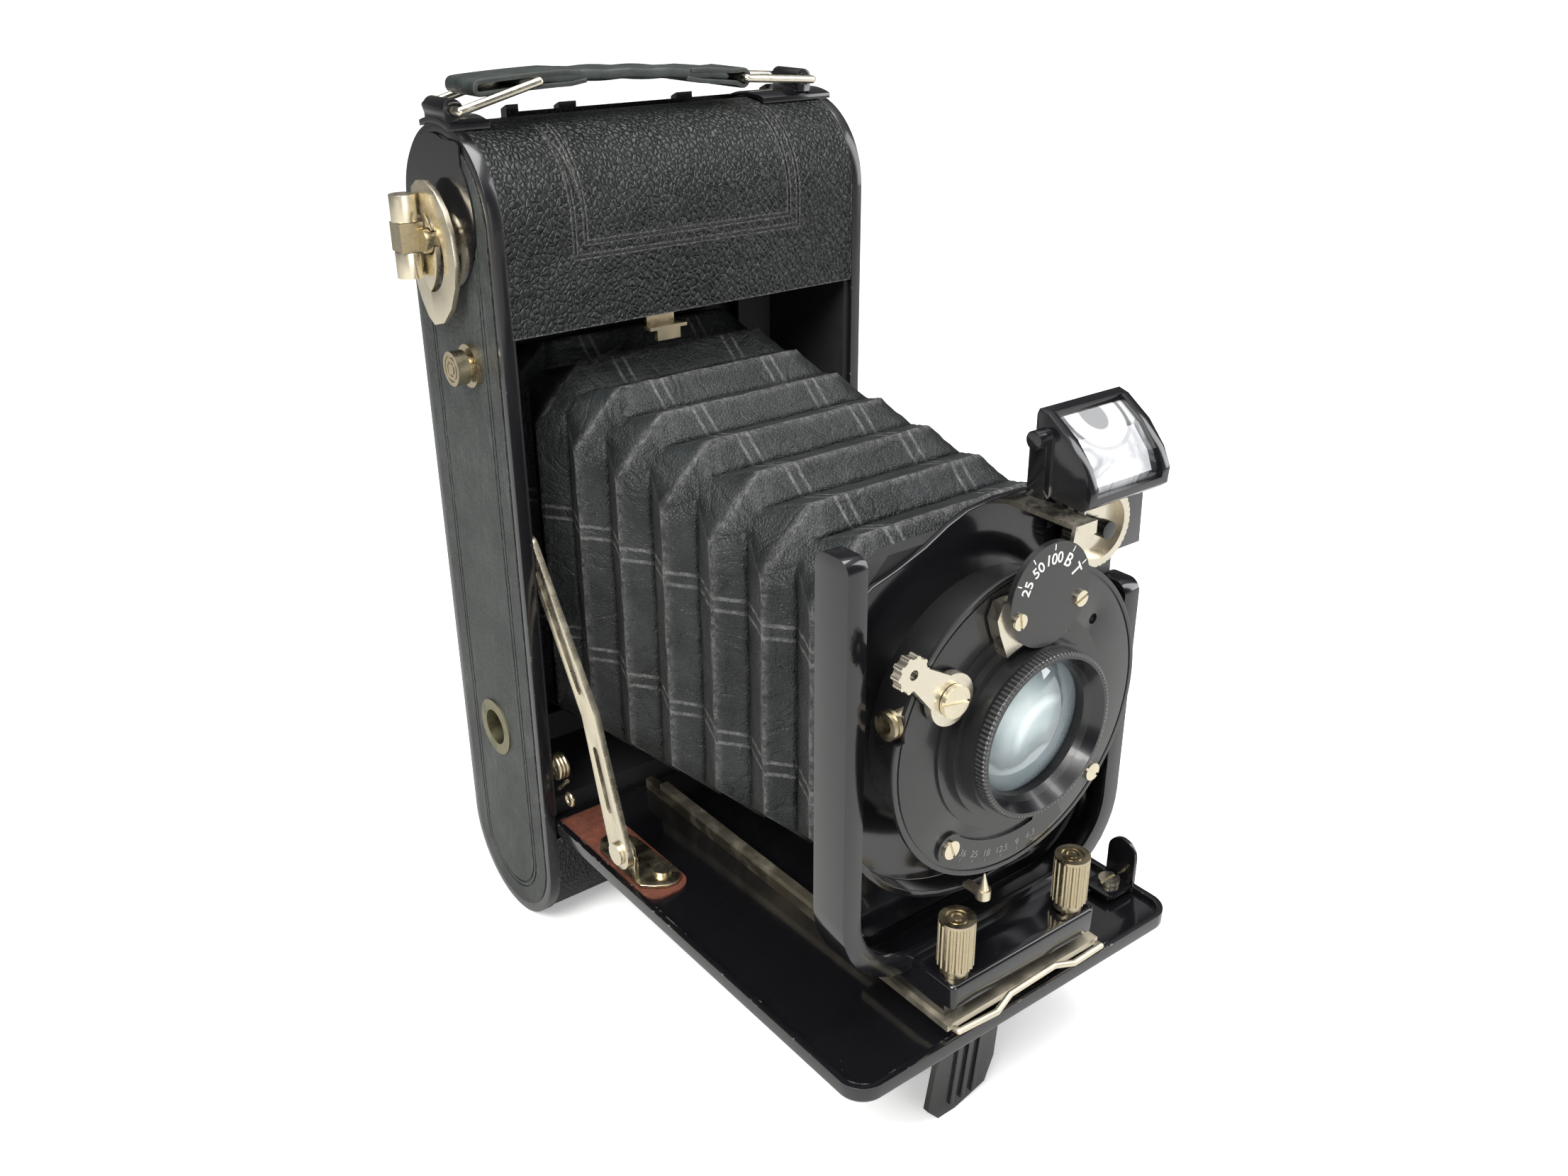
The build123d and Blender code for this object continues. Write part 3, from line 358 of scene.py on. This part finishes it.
def strap_leather():
    mat = Shader("strap_leather_worn")
    grain = mat.noise(scale=700, detail=5, rough=0.7)
    worn = mat.rise(mat.noise(scale=160, detail=4, rough=0.7), start=0.42, end=0.7)
    colour = mat.mix(mat.mul(worn, 0.6), under=(0.0075, 0.0115, 0.0105),
                     over=(0.030, 0.038, 0.034))
    edges = mat.mul(mat.edges(radius=0.0006, sharp=0.8, flat=0.97), 0.55)
    colour = mat.mix(edges, colour, over=(0.105, 0.10, 0.085))
    return mat.set(Base_Color=colour, Roughness=mat.vary(grain, span=0.25, base=0.36),
                   Normal=mat.bump(grain, strength=0.5, depth=0.00022))


def red_fibre():
    mat = Shader("red_fibre")
    grain = mat.noise(scale=900, detail=6, rough=0.75)
    colour = mat.ramp(grain, [(0.3, (0.045, 0.012, 0.006)), (0.62, (0.13, 0.034, 0.016)),
                              (0.8, (0.22, 0.08, 0.045))])
    return mat.set(Base_Color=colour, Roughness=0.75,
                   Normal=mat.bump(grain, strength=0.6, depth=0.0003))


def glazed(mat, colour, rough):
    """Clear coated glass, its painted reflections faintly lit."""
    return mat.set(Base_Color=colour, Roughness=rough, Coat_Weight=1.0, Coat_Roughness=0.01,
                   Emission_Strength=0.05, Emission_Color=colour)


def lens_glass():
    """Painted reflections: a pale sheet of sky with a darker sweep, and one bright painted
    highlight crescent.
    """
    mat = Shader("lens_glass")
    x, z = mat.axes()
    # centimetres from the lens axis
    x = mat.mul(mat.sub(x, RING_MID.x), 100)
    z = mat.mul(mat.sub(z, RING_MID.z), 100)
    wobble = mat.mul(mat.sub(mat.noise(scale=160, detail=2), 0.5), 0.5)
    # painted reflection of the sky, brightest up and to the left of the middle
    from_sky = mat.hypot(mat.add(x, 0.35), mat.sub(z, 0.5))
    sweep = mat.ramp(mat.add(from_sky, wobble), [
        (0.12, (0.36, 0.41, 0.41)), (0.42, (0.24, 0.285, 0.29)), (0.70, (0.12, 0.15, 0.16)),
        (0.92, (0.06, 0.078, 0.085)), (1.0, (0.15, 0.18, 0.19))])
    # painted highlight: a bright crescent, kept to the upper left
    from_crescent = mat.hypot(mat.sub(x, 0.15), mat.add(z, 0.1))
    highlight_ring = mat.fall(mat.gap(from_crescent, 0.55), start=0.0, end=0.13, high=0.8)
    upper_left = mat.rise(mat.add(mat.mul(x, -0.6), mat.mul(z, 0.9)), start=0.0, end=0.5)
    colour = mat.mix(mat.mul(highlight_ring, upper_left), sweep, over=(0.55, 0.60, 0.61))
    return glazed(mat, colour, rough=0.04)


def finder_glass():
    """Cloudy reflections, a pale disc with a dark heart, and two thin dark rings."""
    mat = Shader("finder_glass")
    low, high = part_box("finder_window")
    x, z = mat.axes()
    # 0 to 1 across and up the window
    across = mat.math("DIVIDE", mat.sub(x, low.x), high.x - low.x)
    up = mat.math("DIVIDE", mat.sub(z, low.z), high.z - low.z)

    def radius_from(centre_across, centre_up):
        return mat.hypot(mat.sub(across, centre_across), mat.sub(up, centre_up))

    def ring(centre, radius, width):
        from_ring = mat.gap(radius_from(*centre), radius)
        return mat.fall(from_ring, start=width * 0.6, end=width)

    disc_centre = (0.5, 0.92)
    cloud = mat.mul(mat.noise(scale=130, distortion=1.5), 1.0)
    colour = mat.ramp(mat.add(cloud, mat.mul(up, 0.12)), [
        (0.38, (0.02, 0.022, 0.025)), (0.50, (0.12, 0.125, 0.13)),
        (0.62, (0.34, 0.345, 0.35))])
    radius = radius_from(*disc_centre)
    disc = mat.fall(radius, start=0.34, end=0.36)
    colour = mat.mix(disc, colour, over=(0.42, 0.425, 0.43))
    heart = mat.mul(mat.fall(radius, start=0.15, end=0.17), 0.7)
    colour = mat.mix(heart, colour, over=(0.06, 0.063, 0.066))
    rim = mat.mul(ring(disc_centre, radius=0.38, width=0.03), 0.8)
    colour = mat.mix(rim, colour, over=(0.05, 0.05, 0.055))
    arc = mat.mul(ring((0.9, -0.1), radius=0.62, width=0.02), 0.5)
    colour = mat.mix(arc, colour, over=(0.08, 0.08, 0.085))
    return glazed(mat, colour, rough=0.05)


def mottled(name, base, other, rough, scale=600, metallic=0.0, bumps=0.2):
    """Two close colours in fine noise."""
    mat = Shader(name)
    grain = mat.noise(scale=scale, detail=4, rough=0.6)
    return mat.set(Base_Color=mat.mix(grain, base, other), Metallic=metallic,
                   Roughness=mat.vary(grain, span=0.15, base=rough),
                   Normal=mat.bump(grain, strength=bumps, depth=0.0001))


def knurled_ring():
    """Black ring whose rim is cut with fine teeth about the lens axis."""
    mat = Shader("knurled_black_ring")
    tooth_count = 110.0
    rim_start = (RING_HIGH.x - RING_LOW.x) / 2 * 0.955
    x, z = mat.axes()
    x = mat.sub(x, RING_MID.x)
    z = mat.sub(z, RING_MID.z)
    angle = mat.math("ARCTAN2", z, x)
    radius = mat.math("SQRT", mat.add(mat.mul(x, x), mat.mul(z, z)))
    wave = mat.math("SINE", mat.mul(angle, tooth_count))
    teeth = mat.vary(wave, span=0.5, base=0.5)
    cut = mat.mul(teeth, mat.math("GREATER_THAN", radius, rim_start))
    colour = mat.mix(mat.mul(cut, 0.8), under=(0.004, 0.004, 0.005),
                     over=(0.045, 0.045, 0.045))
    return mat.set(Base_Color=colour, Roughness=0.2, Coat_Weight=0.2,
                   Normal=mat.bump(cut, strength=1.0, depth=0.00025))


# key: name, colour, tarnish colour, roughness, tarnish, bump strength, edge colour
METALS = {
    "nickel": ("nickel_plate", (0.70, 0.635, 0.49), (0.44, 0.37, 0.25), 0.27, 0.25, 0.03),
    "nickel_old": ("nickel_plate_tarnished", (0.46, 0.395, 0.27), (0.22, 0.17, 0.10),
                   0.26, 0.4, 0.05),
    "nickel_clean": ("nickel_track", (0.66, 0.60, 0.47), (0.42, 0.36, 0.25), 0.42, 0.3, 0.02),
    "nickel_bright": ("nickel_bright", (0.66, 0.61, 0.50), (0.42, 0.37, 0.28), 0.2, 0.2, 0.02),
    "rail": ("rail_worn", (0.34, 0.30, 0.225), (0.06, 0.052, 0.04), 0.38, 0.8, 0.1),
    # a spare finish that no piece wears
    "brass": ("brass_aged", (0.60, 0.50, 0.32), (0.17, 0.16, 0.08), 0.3, 0.7, 0.1,
              (0.8, 0.72, 0.5)),
    "brass_green": ("brass_patina", (0.22, 0.20, 0.12), (0.05, 0.075, 0.045), 0.4, 0.9, 0.1,
                    (0.4, 0.38, 0.27)),
}

MATERIALS = {
    "enamel": enamel("black_enamel"),
    "enamel_worn": enamel("black_enamel_chipped", wear=1.0),
    "enamel_rim": enamel("black_enamel_rim", wear=0.45, rough=0.2),
    "satin": enamel("black_satin_shutter", rough=0.27, base=(0.0075, 0.0075, 0.0078), dust=1.2),
    "pebble": pebbled_leather(),
    "side": side_leather(),
    **{key: metal(*row) for key, row in METALS.items()},
    "bellows": bellows_cloth(),
    "strap": strap_leather(),
    "fibre": red_fibre(),
    "lens": lens_glass(),
    "finder": finder_glass(),
    "mirror": mottled("silvered", (0.8, 0.81, 0.83), (0.6, 0.61, 0.63), rough=0.05,
                      scale=300, metallic=1.0, bumps=0.02),
    "ring": knurled_ring(),
    "wood": mottled("spool_core", (0.19, 0.11, 0.055), (0.30, 0.19, 0.10), rough=0.5),
    "red": mottled("ruby_window", (0.24, 0.006, 0.004), (0.36, 0.014, 0.008), rough=0.12),
    "matt": mottled("matt_black_inside", (0.006, 0.006, 0.0065), (0.011, 0.011, 0.012),
                    rough=0.55),
    "paint": mottled("engraved_white", (0.62, 0.61, 0.57), (0.46, 0.45, 0.42), rough=0.5,
                     scale=900),
    "paint_dim": mottled("engraved_dim", (0.17, 0.17, 0.16), (0.08, 0.08, 0.075), rough=0.5,
                         scale=900),
}

# ------------------------------------------------------------------ CAD pieces
# material key: the pieces that wear it
WORN_BY = {
    "enamel": "bearing_plate strap_lugs door_latch door_hinge bed_hinge_pin focus_lever "
              "foot_hinge standard_frame carriage lens_board finder_bracket finder_body",
    "enamel_worn": "bed",
    "enamel_rim": "side_caps",
    "satin": "foot shutter_drum shutter_face lens_barrel speed_dial",
    "pebble": "front_leathers door_leather bed_leather",
    "side": "side_leathers",
    "nickel": "film_rollers key_wing struts bed_rivets shutter_screws aperture_pointer",
    "nickel_old": "key_shaft release_button small_fittings window_cover strut_brackets "
                  "bed_springs cable_socket knob_left knob_right",
    "nickel_clean": "focus_track",
    "nickel_bright": "strap_rings dial_base cocking_lever turning_wheel",
    "rail": "bed_rails",
    "brass_green": "tripod_bush",
    "fibre": "fibre_pads",
    "lens": "lenses",
    "finder": "finder_window",
    "mirror": "finder_mirror",
    "ring": "lens_ring",
    "wood": "take_up_spool supply_spool",
    "red": "red_window",
    "matt": "body_shell back_door bellows_front_frame",
}

# piece: width of its rounded edges
ROUNDED = {
    "standard_frame": 0.0007, "bed": 0.0004, "carriage": 0.0003, "finder_body": 0.00025,
    "struts": 0.0002, "key_wing": 0.00018, "focus_lever": 0.0002, "foot": 0.0003,
    "shutter_face": 0.00015, "side_caps": 0.0003, "strut_brackets": 0.0002,
    "lens_board": 0.0002, "finder_bracket": 0.0003, "strap_lugs": 0.0002,
}


def modify(piece, name, kind, **settings):
    modifier = piece.modifiers.new(name, kind)
    for key, value in settings.items():
        setattr(modifier, key, value)


def split_edges(piece, degrees, name="edge_split"):
    modify(piece, name, "EDGE_SPLIT", split_angle=math.radians(degrees))


def round_edges(piece, width, segments):
    modify(piece, "round", "BEVEL", width=width, segments=segments,
           limit_method="ANGLE", angle_limit=math.radians(40))
    split_edges(piece, 35)


for key, names in WORN_BY.items():
    for name in names.split():
        piece = PIECES[name]
        piece.data.materials.clear()
        piece.data.materials.append(MATERIALS[key])
        for polygon in piece.data.polygons:
            polygon.use_smooth = True
        if name in ROUNDED:
            piece.modifiers.clear()
            modify(piece, "weld", "WELD", merge_threshold=1e-6)
            round_edges(piece, ROUNDED[name], segments=3)
        elif name != "lenses":
            split_edges(piece, 28)


# ------------------------------------------------------------------ mesh helpers
def build_mesh(name, points, faces, material, smooth=False, attributes=None):
    """New object from points and faces, with float attributes on its points."""
    mesh = bpy.data.meshes.new(name)
    mesh.from_pydata([tuple(point) for point in points], [], faces)
    mesh.validate()
    mesh.update()
    for key, values in (attributes or {}).items():
        mesh.attributes.new(key, "FLOAT", "POINT").data.foreach_set("value", values)
    piece = bpy.data.objects.new(name, mesh)
    bpy.context.scene.collection.objects.link(piece)
    mesh.materials.append(material)
    edit = bmesh.new()
    edit.from_mesh(mesh)
    bmesh.ops.recalc_face_normals(edit, faces=edit.faces)
    edit.to_mesh(mesh)
    edit.free()
    for polygon in mesh.polygons:
        polygon.use_smooth = smooth
    return piece


def tube_faces(rings, around, capped=True):
    """Faces joining rings of points, with an end face at each end if capped."""
    faces = []
    for near in range(0, (rings - 1) * around, around):
        far = near + around
        for i in range(around):
            j = (i + 1) % around
            faces.append((near + i, near + j, far + j, far + i))
    if capped:
        faces.append(tuple(range(around)))
        faces.append(tuple((rings - 1) * around + i for i in reversed(range(around))))
    return faces


# ------------------------------------------------------------------ bellows
RIDGES = [20.5, 8.6, -4.5, -17.6, -30.8, -44.0, -57.0, -68.6]  # y of each ridge
BELLOWS_REAR, BELLOWS_FRONT = 25.6, -72.9
TAPER_REAR, TAPER_FRONT = 25.5, -70.4  # y where the (rear, front) sizes below hold
HALF_WIDTH = (31.2, 27.6)
BOTTOM = (37.0, 48.0)
TOP = (120.0, 108.0)
FOLD_DEPTH = 3.6
TUCK_SHIFT = 1.6  # a valley lies this far behind the middle of its two ridges
CORNER_CUT = (3.2, 10.0)  # at a valley, at a ridge
LEAF_HOLLOW = 0.10
LEAF_STEPS = 6
FLAT_POINTS, CORNER_POINTS = 14, 3


def scatter(i, j):
    """Repeatable value from 0 to 1."""
    return (math.sin(i * 12.9898 + j * 78.233) * 43758.5453) % 1.0


def bellows_stations():
    """(y, fold, hollow) of each ring; fold is 1 on a ridge and 0 in a valley."""
    folds = [(BELLOWS_REAR, 0.5)]
    for ridge, following in zip(RIDGES, RIDGES[1:]):
        folds += [(ridge, 1.0), ((ridge + following) / 2 + TUCK_SHIFT, 0.0)]
    folds += [(RIDGES[-1], 1.0), (BELLOWS_FRONT, 0.25)]
    stations = []
    for (y_from, fold_from), (y_to, fold_to) in zip(folds, folds[1:]):
        for i in range(LEAF_STEPS):
            share = i / LEAF_STEPS
            hollow = LEAF_HOLLOW * math.sin(math.pi * share)
            stations.append((lerp(y_from, y_to, share), lerp(fold_from, fold_to, share), hollow))
    return stations + [(*folds[-1], 0.0)]


def bellows_ring(y, half_width, bottom, top, cut, seed):
    """Slightly uneven eight-sided ring: its points, and their line attribute."""
    inner = half_width - cut
    corners = [(-inner, bottom), (inner, bottom), (half_width, bottom + cut),
               (half_width, top - cut), (inner, top), (-inner, top),
               (-half_width, top - cut), (-half_width, bottom + cut)]
    points, line = [], []
    for side, (x_from, z_from) in enumerate(corners):
        x_to, z_to = corners[(side + 1) % 8]
        is_flat = side % 2 == 0
        count = FLAT_POINTS if is_flat else CORNER_POINTS
        length = math.hypot(x_to - x_from, z_to - z_from)
        for i in range(count):
            share = i / count
            x, z = lerp(x_from, x_to, share), lerp(z_from, z_to, share)
            wobble = 0.22 * (scatter(seed, side * 20 + i) - 0.5)
            if side in (0, 4):
                z += wobble
            elif side in (2, 6):
                x += wobble
            sway = 0.35 * (scatter(seed + 7, side * 9 + i) - 0.5)
            points.append(at(x, y + sway, z))
            # on the cut corners the value is too large to meet a ruled line
            line.append((share - 0.5) * length / 1000.0 if is_flat else 1.0)
    return points, line


def make_bellows():
    """Zigzag cloth tube. Flats step out at each ridge while the corners step in."""
    points, wear, valley_shade, line = [], [], [], []
    stations = bellows_stations()
    for row, (y, fold, hollow) in enumerate(stations):
        share = (TAPER_REAR - y) / (TAPER_REAR - TAPER_FRONT)
        inset = FOLD_DEPTH * (1 - fold) + hollow
        ring, ring_line = bellows_ring(
            y, lerp(*HALF_WIDTH, share) - inset, lerp(*BOTTOM, share) + inset,
            lerp(*TOP, share) - inset, lerp(*CORNER_CUT, fold), seed=row)
        points += ring
        line += ring_line
        wear += [max(0.0, (fold - 0.72) / 0.28)] * len(ring)
        # weight of the painted valley shade, 1 in a valley and 0 from fold 0.3 up
        valley_shade += [max(0.0, 1 - fold / 0.30)] * len(ring)
    return build_mesh("bellows_cloth", points,
                      tube_faces(len(stations), len(ring), capped=False),
                      MATERIALS["bellows"], smooth=True,
                      attributes={"wear": wear, "valley_shade": valley_shade, "line": line})


bellows = make_bellows()
split_edges(bellows, 26, name="creases")
modify(bellows, "cloth", "SOLIDIFY", thickness=0.0005, offset=-1)
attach(bellows, "camera_body")
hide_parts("bellows")
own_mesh(bellows)

# ------------------------------------------------------------------ strap
PAD_START, PAD_LENGTH = -27.0, 43.5  # along x
PAD_STEPS, PAD_AROUND = 56, 32
BAND_THICKNESS = 0.85
BAND_Y = (10.6, 21.4)


def strap_z(x):
    """Height of the strap's shallow arch."""
    return 167.15 - 0.0018 * (x + 15.0) ** 2


def make_pad():
    """Padded middle of the strap, a rounded section swept along the arch."""
    low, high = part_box("handle_strap")
    y_low, y_high = low.y + 0.0002, high.y - 0.0002
    points = []
    for i in range(PAD_STEPS + 1):
        share = i / PAD_STEPS
        is_end = i in (0, PAD_STEPS)
        x = PAD_START + PAD_LENGTH * share
        middle = at(x, 0, strap_z(x) + 0.15)
        half_thick = 1.12 - 0.25 * abs(2 * share - 1) ** 3 + 0.04 * math.sin(9 * share)
        if is_end:
            half_thick *= 0.55
        narrowing = 0.04 * math.sin(math.pi * share) + (0.05 if is_end else 0)
        half_wide = (y_high - y_low) / 2 * (1.0 - narrowing)
        for j in range(PAD_AROUND):
            angle = 2 * math.pi * j / PAD_AROUND
            cosine, sine = math.cos(angle), math.sin(angle)
            # powers below 1 square off the section
            y = (y_low + y_high) / 2 + half_wide * math.copysign(abs(cosine) ** 0.35, cosine)
            z = middle.z + half_thick / 1000 * math.copysign(abs(sine) ** 0.5, sine)
            z += 0.00010 * math.sin(31 * share + 2.0 * cosine)
            points.append((middle.x, y, min(max(z, low.z), high.z + 0.0001)))
    return build_mesh("strap_cloth", points, tube_faces(PAD_STEPS + 1, PAD_AROUND),
                      MATERIALS["strap"], smooth=True)


pad = make_pad()
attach(pad, "camera_body")
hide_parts("handle_strap")


def run(xs, lift):
    """Path points at a height above (or below) the arch."""
    return [(x, strap_z(x) + lift) for x in xs]


def turn(x, z, radius, angles):
    """Path points on an arc, angles in degrees."""
    return [(x + radius * math.cos(math.radians(angle)),
             z + radius * math.sin(math.radians(angle))) for angle in angles]


def make_band(name, path):
    """Flat leather band following an (x, z) path."""
    points = []
    for i, (x, z) in enumerate(path):
        x_before, z_before = path[max(0, i - 1)]
        x_after, z_after = path[min(len(path) - 1, i + 1)]
        length = math.hypot(x_after - x_before, z_after - z_before) or 1.0
        x_off = -(z_after - z_before) / length * BAND_THICKNESS / 2
        z_off = (x_after - x_before) / length * BAND_THICKNESS / 2
        sway = 0.12 * math.sin(0.9 * i)
        y_low, y_high = BAND_Y
        for face, y in ((1, y_low), (1, y_high), (-1, y_high), (-1, y_low)):
            points.append(at(x + face * x_off, y + sway, z + face * z_off))
    band = build_mesh(name, points, tube_faces(len(path), 4), MATERIALS["strap"], smooth=True)
    round_edges(band, width=0.0002, segments=2)
    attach(band, "camera_body")


# Each band runs out below the arch, turns at the end and comes back above it.
make_band("strap_loop_left",
          run([-14.0], -0.55) + run((-17, -20, -23, -26, -29, -32, -34), -1.0)
          + turn(-34.4, strap_z(-34.4) - 0.02, 0.98, range(260, 99, -20))
          + run((-33, -30, -27, -24, -21, -18), 1.0) + run([-15.0], 0.75))
make_band("strap_loop_right",
          run([7.0], -0.6) + run((10, 13, 16, 18), -1.0)
          + turn(19.5, strap_z(19.5), 1.42, range(-100, 111, 21))
          + run((17, 14, 11), 1.0) + run([8.0], 0.7))


# ------------------------------------------------------------------ engraving
def on_standard(piece):
    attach(piece, "lens_standard")


def make_figure(name, text, place, size, spin, material, bold=0.0):
    """Raised paint figures facing -y, turned by spin degrees about y."""
    curve = bpy.data.curves.new(name, "FONT")
    curve.body = text
    curve.size = size / 1000.0
    curve.align_x = "CENTER"
    curve.align_y = "CENTER"
    curve.extrude = 0.00003
    curve.offset = bold
    source = bpy.data.objects.new(name + "_src", curve)
    bpy.context.scene.collection.objects.link(source)
    bpy.context.view_layer.update()
    depsgraph = bpy.context.evaluated_depsgraph_get()
    mesh = bpy.data.meshes.new_from_object(source.evaluated_get(depsgraph))
    bpy.data.objects.remove(source)
    mesh.transform(Matrix.Translation(at(*place))
                   @ Matrix.Rotation(math.radians(spin), 4, "Y")
                   @ Matrix.Rotation(math.pi / 2, 4, "X"))
    figure = bpy.data.objects.new(name, mesh)
    bpy.context.scene.collection.objects.link(figure)
    mesh.materials.clear()
    mesh.materials.append(material)
    on_standard(figure)


def make_tick(name, place, length, width, spin, material):
    """Short mark standing 0.04 mm proud."""
    x, y, z = place
    cosine, sine = math.cos(math.radians(spin)), math.sin(math.radians(spin))
    points = []
    for proud in (0, -0.04):
        for side, end in ((-1, -1), (1, -1), (1, 1), (-1, 1)):
            across, along = side * width / 2, end * length / 2
            points.append(at(x + across * cosine + along * sine, y + proud,
                             z - across * sine + along * cosine))
    faces = [(0, 1, 2, 3), (7, 6, 5, 4), (0, 4, 5, 1), (1, 5, 6, 2), (2, 6, 7, 3), (3, 7, 4, 0)]
    on_standard(build_mesh(name, points, faces, material))


def around(centre, radius, angle, y):
    """Place on a circle facing -y, angle in degrees from the top towards +x."""
    x, z = centre
    angle = math.radians(angle)
    return x + radius * math.sin(angle), y, z + radius * math.cos(angle)


DIAL_CENTRE, DIAL_Y = (0.6, 100.75), -90.13
SPEEDS = (("25", -65), ("50", -33), ("100", 1), ("B", 34), ("T", 62))  # figure, angle
for i, (text, angle) in enumerate(SPEEDS):
    make_figure(f"dial_figure_{i}", text, around(DIAL_CENTRE, 5.7, angle, DIAL_Y),
                size=2.5 if len(text) > 1 else 3.0, spin=angle,
                material=MATERIALS["paint"], bold=0.00001)
    make_tick(f"dial_tick_{i}", around(DIAL_CENTRE, 7.65, angle, DIAL_Y),
              length=0.95, width=0.16, spin=angle, material=MATERIALS["paint"])

LENS_CENTRE = (0, 77.7)
STOPS = (("36", 211), ("25", 203.5), ("18", 196), ("12.5", 187), ("9", 178), ("6.3", 170))
for i, (text, angle) in enumerate(STOPS):
    make_figure(f"stop_figure_{i}", text, around(LENS_CENTRE, 22.6, angle, y=-86.98),
                size=1.7, spin=angle + 180, material=MATERIALS["paint_dim"])
    make_tick(f"stop_tick_{i}", around(LENS_CENTRE, 23.8, angle, y=-86.96),
              length=0.5, width=0.12, spin=angle, material=MATERIALS["paint_dim"])


# ------------------------------------------------------------------ stage
def floor_material():
    """White floor that glows more with distance, but reflects as a plain grey."""
    mat = Shader("studio_floor")
    glossy = mat.node("LightPath").outputs["Is Glossy Ray"]
    white = mat.mix(mat.noise(scale=3, detail=2), under=(0.88, 0.88, 0.88),
                    over=(0.90, 0.90, 0.90))
    position = mat.node("NewGeometry").outputs["Position"]
    distance = mat.node("VectorMath", {0: position}, operation="LENGTH").outputs["Value"]
    glow = mat.rise(mat.math("DIVIDE", distance, 3.0), start=0.10, end=0.45,
                    low=0.30, high=0.80)
    return mat.set(Base_Color=mat.mix(glossy, white, over=(0.46, 0.46, 0.45)), Roughness=0.6,
                   Specular_IOR_Level=0.2, Emission_Color=(1, 1, 1),
                   Emission_Strength=mat.mul(mat.sub(1.0, glossy), glow))


FLOOR_REACH = 6
floor_z = at(0, 0, 0).z - 0.00002  # just clear of the feet
floor = build_mesh(
    "studio_floor",
    [(x * FLOOR_REACH, y * FLOOR_REACH, floor_z) for x, y in ((-1, -1), (1, -1), (1, 1), (-1, 1))],
    [(0, 1, 2, 3)], floor_material())
floor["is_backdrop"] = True


def make_world():
    """The eye sees plain white; reflections see a darker room under a bright ceiling."""
    world = bpy.data.worlds.new("studio_world")
    bpy.context.scene.world = world
    world.use_nodes = True
    graph = Graph(world.node_tree)
    background = world.node_tree.nodes["Background"]
    is_camera = graph.node("LightPath").outputs["Is Camera Ray"]
    direction = graph.node("TexCoord").outputs["Generated"]
    height = graph.node("SeparateXYZ", {0: direction}).outputs[2]
    levels = [(0.0, 0.30), (0.12, 0.10), (0.55, 0.09), (0.9, 1.0)]  # height, brightness
    room = graph.ramp(height, [(place, (level, level, level * 1.01)) for place, level in levels])
    graph.feed(background.inputs[0], graph.mix(is_camera, room, over=(1, 1, 1)))
    graph.feed(background.inputs[1], 1.0)


make_world()

LIGHT_TARGET = at(0, -20, 80)


def area_light(name, place, size, power, colour=(1, 1, 1), size_y=None):
    """Rectangular light aimed at the middle of the camera."""
    light = bpy.data.lights.new(name, "AREA")
    light.energy = power
    light.color = colour
    light.shape = "RECTANGLE"
    light.size = size
    light.size_y = size_y or size
    lamp = bpy.data.objects.new(name, light)
    bpy.context.scene.collection.objects.link(lamp)
    lamp.location = place
    aim = (LIGHT_TARGET - place).normalized()
    lamp.rotation_euler = aim.to_track_quat("-Z", "Y").to_euler()


area_light("key_softbox", at(-520, -250, 620), size=0.42, power=9.5, colour=(1.0, 0.99, 0.97))
area_light("top_softbox", at(60, -60, 900), size=0.6, power=8.5)
area_light("right_strip", at(560, -420, 380), size=0.25, size_y=0.7, power=3.0,
           colour=(0.97, 0.98, 1.0))
area_light("front_low", at(-120, -800, 260), size=0.5, power=2.6)


# ------------------------------------------------------------------ view
def make_view(place, yaw, pitch, roll, focal_length):
    """Scene camera: yaw from +y towards +x, pitch downwards, in degrees."""
    optics = bpy.data.cameras.new("view")
    optics.sensor_width = 36.0
    optics.sensor_fit = "HORIZONTAL"
    optics.lens = focal_length
    optics.clip_start = 0.01
    view = bpy.data.objects.new("view", optics)
    bpy.context.scene.collection.objects.link(view)
    yaw, pitch, roll = (math.radians(angle) for angle in (yaw, pitch, roll))
    forward = Vector((math.sin(yaw) * math.cos(pitch), math.cos(yaw) * math.cos(pitch),
                      -math.sin(pitch)))
    level_right = Vector((math.cos(yaw), -math.sin(yaw), 0))
    level_down = forward.cross(level_right)
    right = math.cos(roll) * level_right + math.sin(roll) * level_down
    down = -math.sin(roll) * level_right + math.cos(roll) * level_down
    turned = Matrix((right, -down, -forward)).transposed()
    view.matrix_world = Matrix.Translation(place) @ turned.to_4x4()
    bpy.context.scene.camera = view


make_view(at(-145.18, -214.71, 189.50), yaw=37.614, pitch=24.961, roll=0.322,
          focal_length=32.30)
bpy.context.scene.view_settings.view_transform = "Standard"
bpy.context.scene.view_settings.look = "None"

sizes["visual"] = plain(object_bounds())
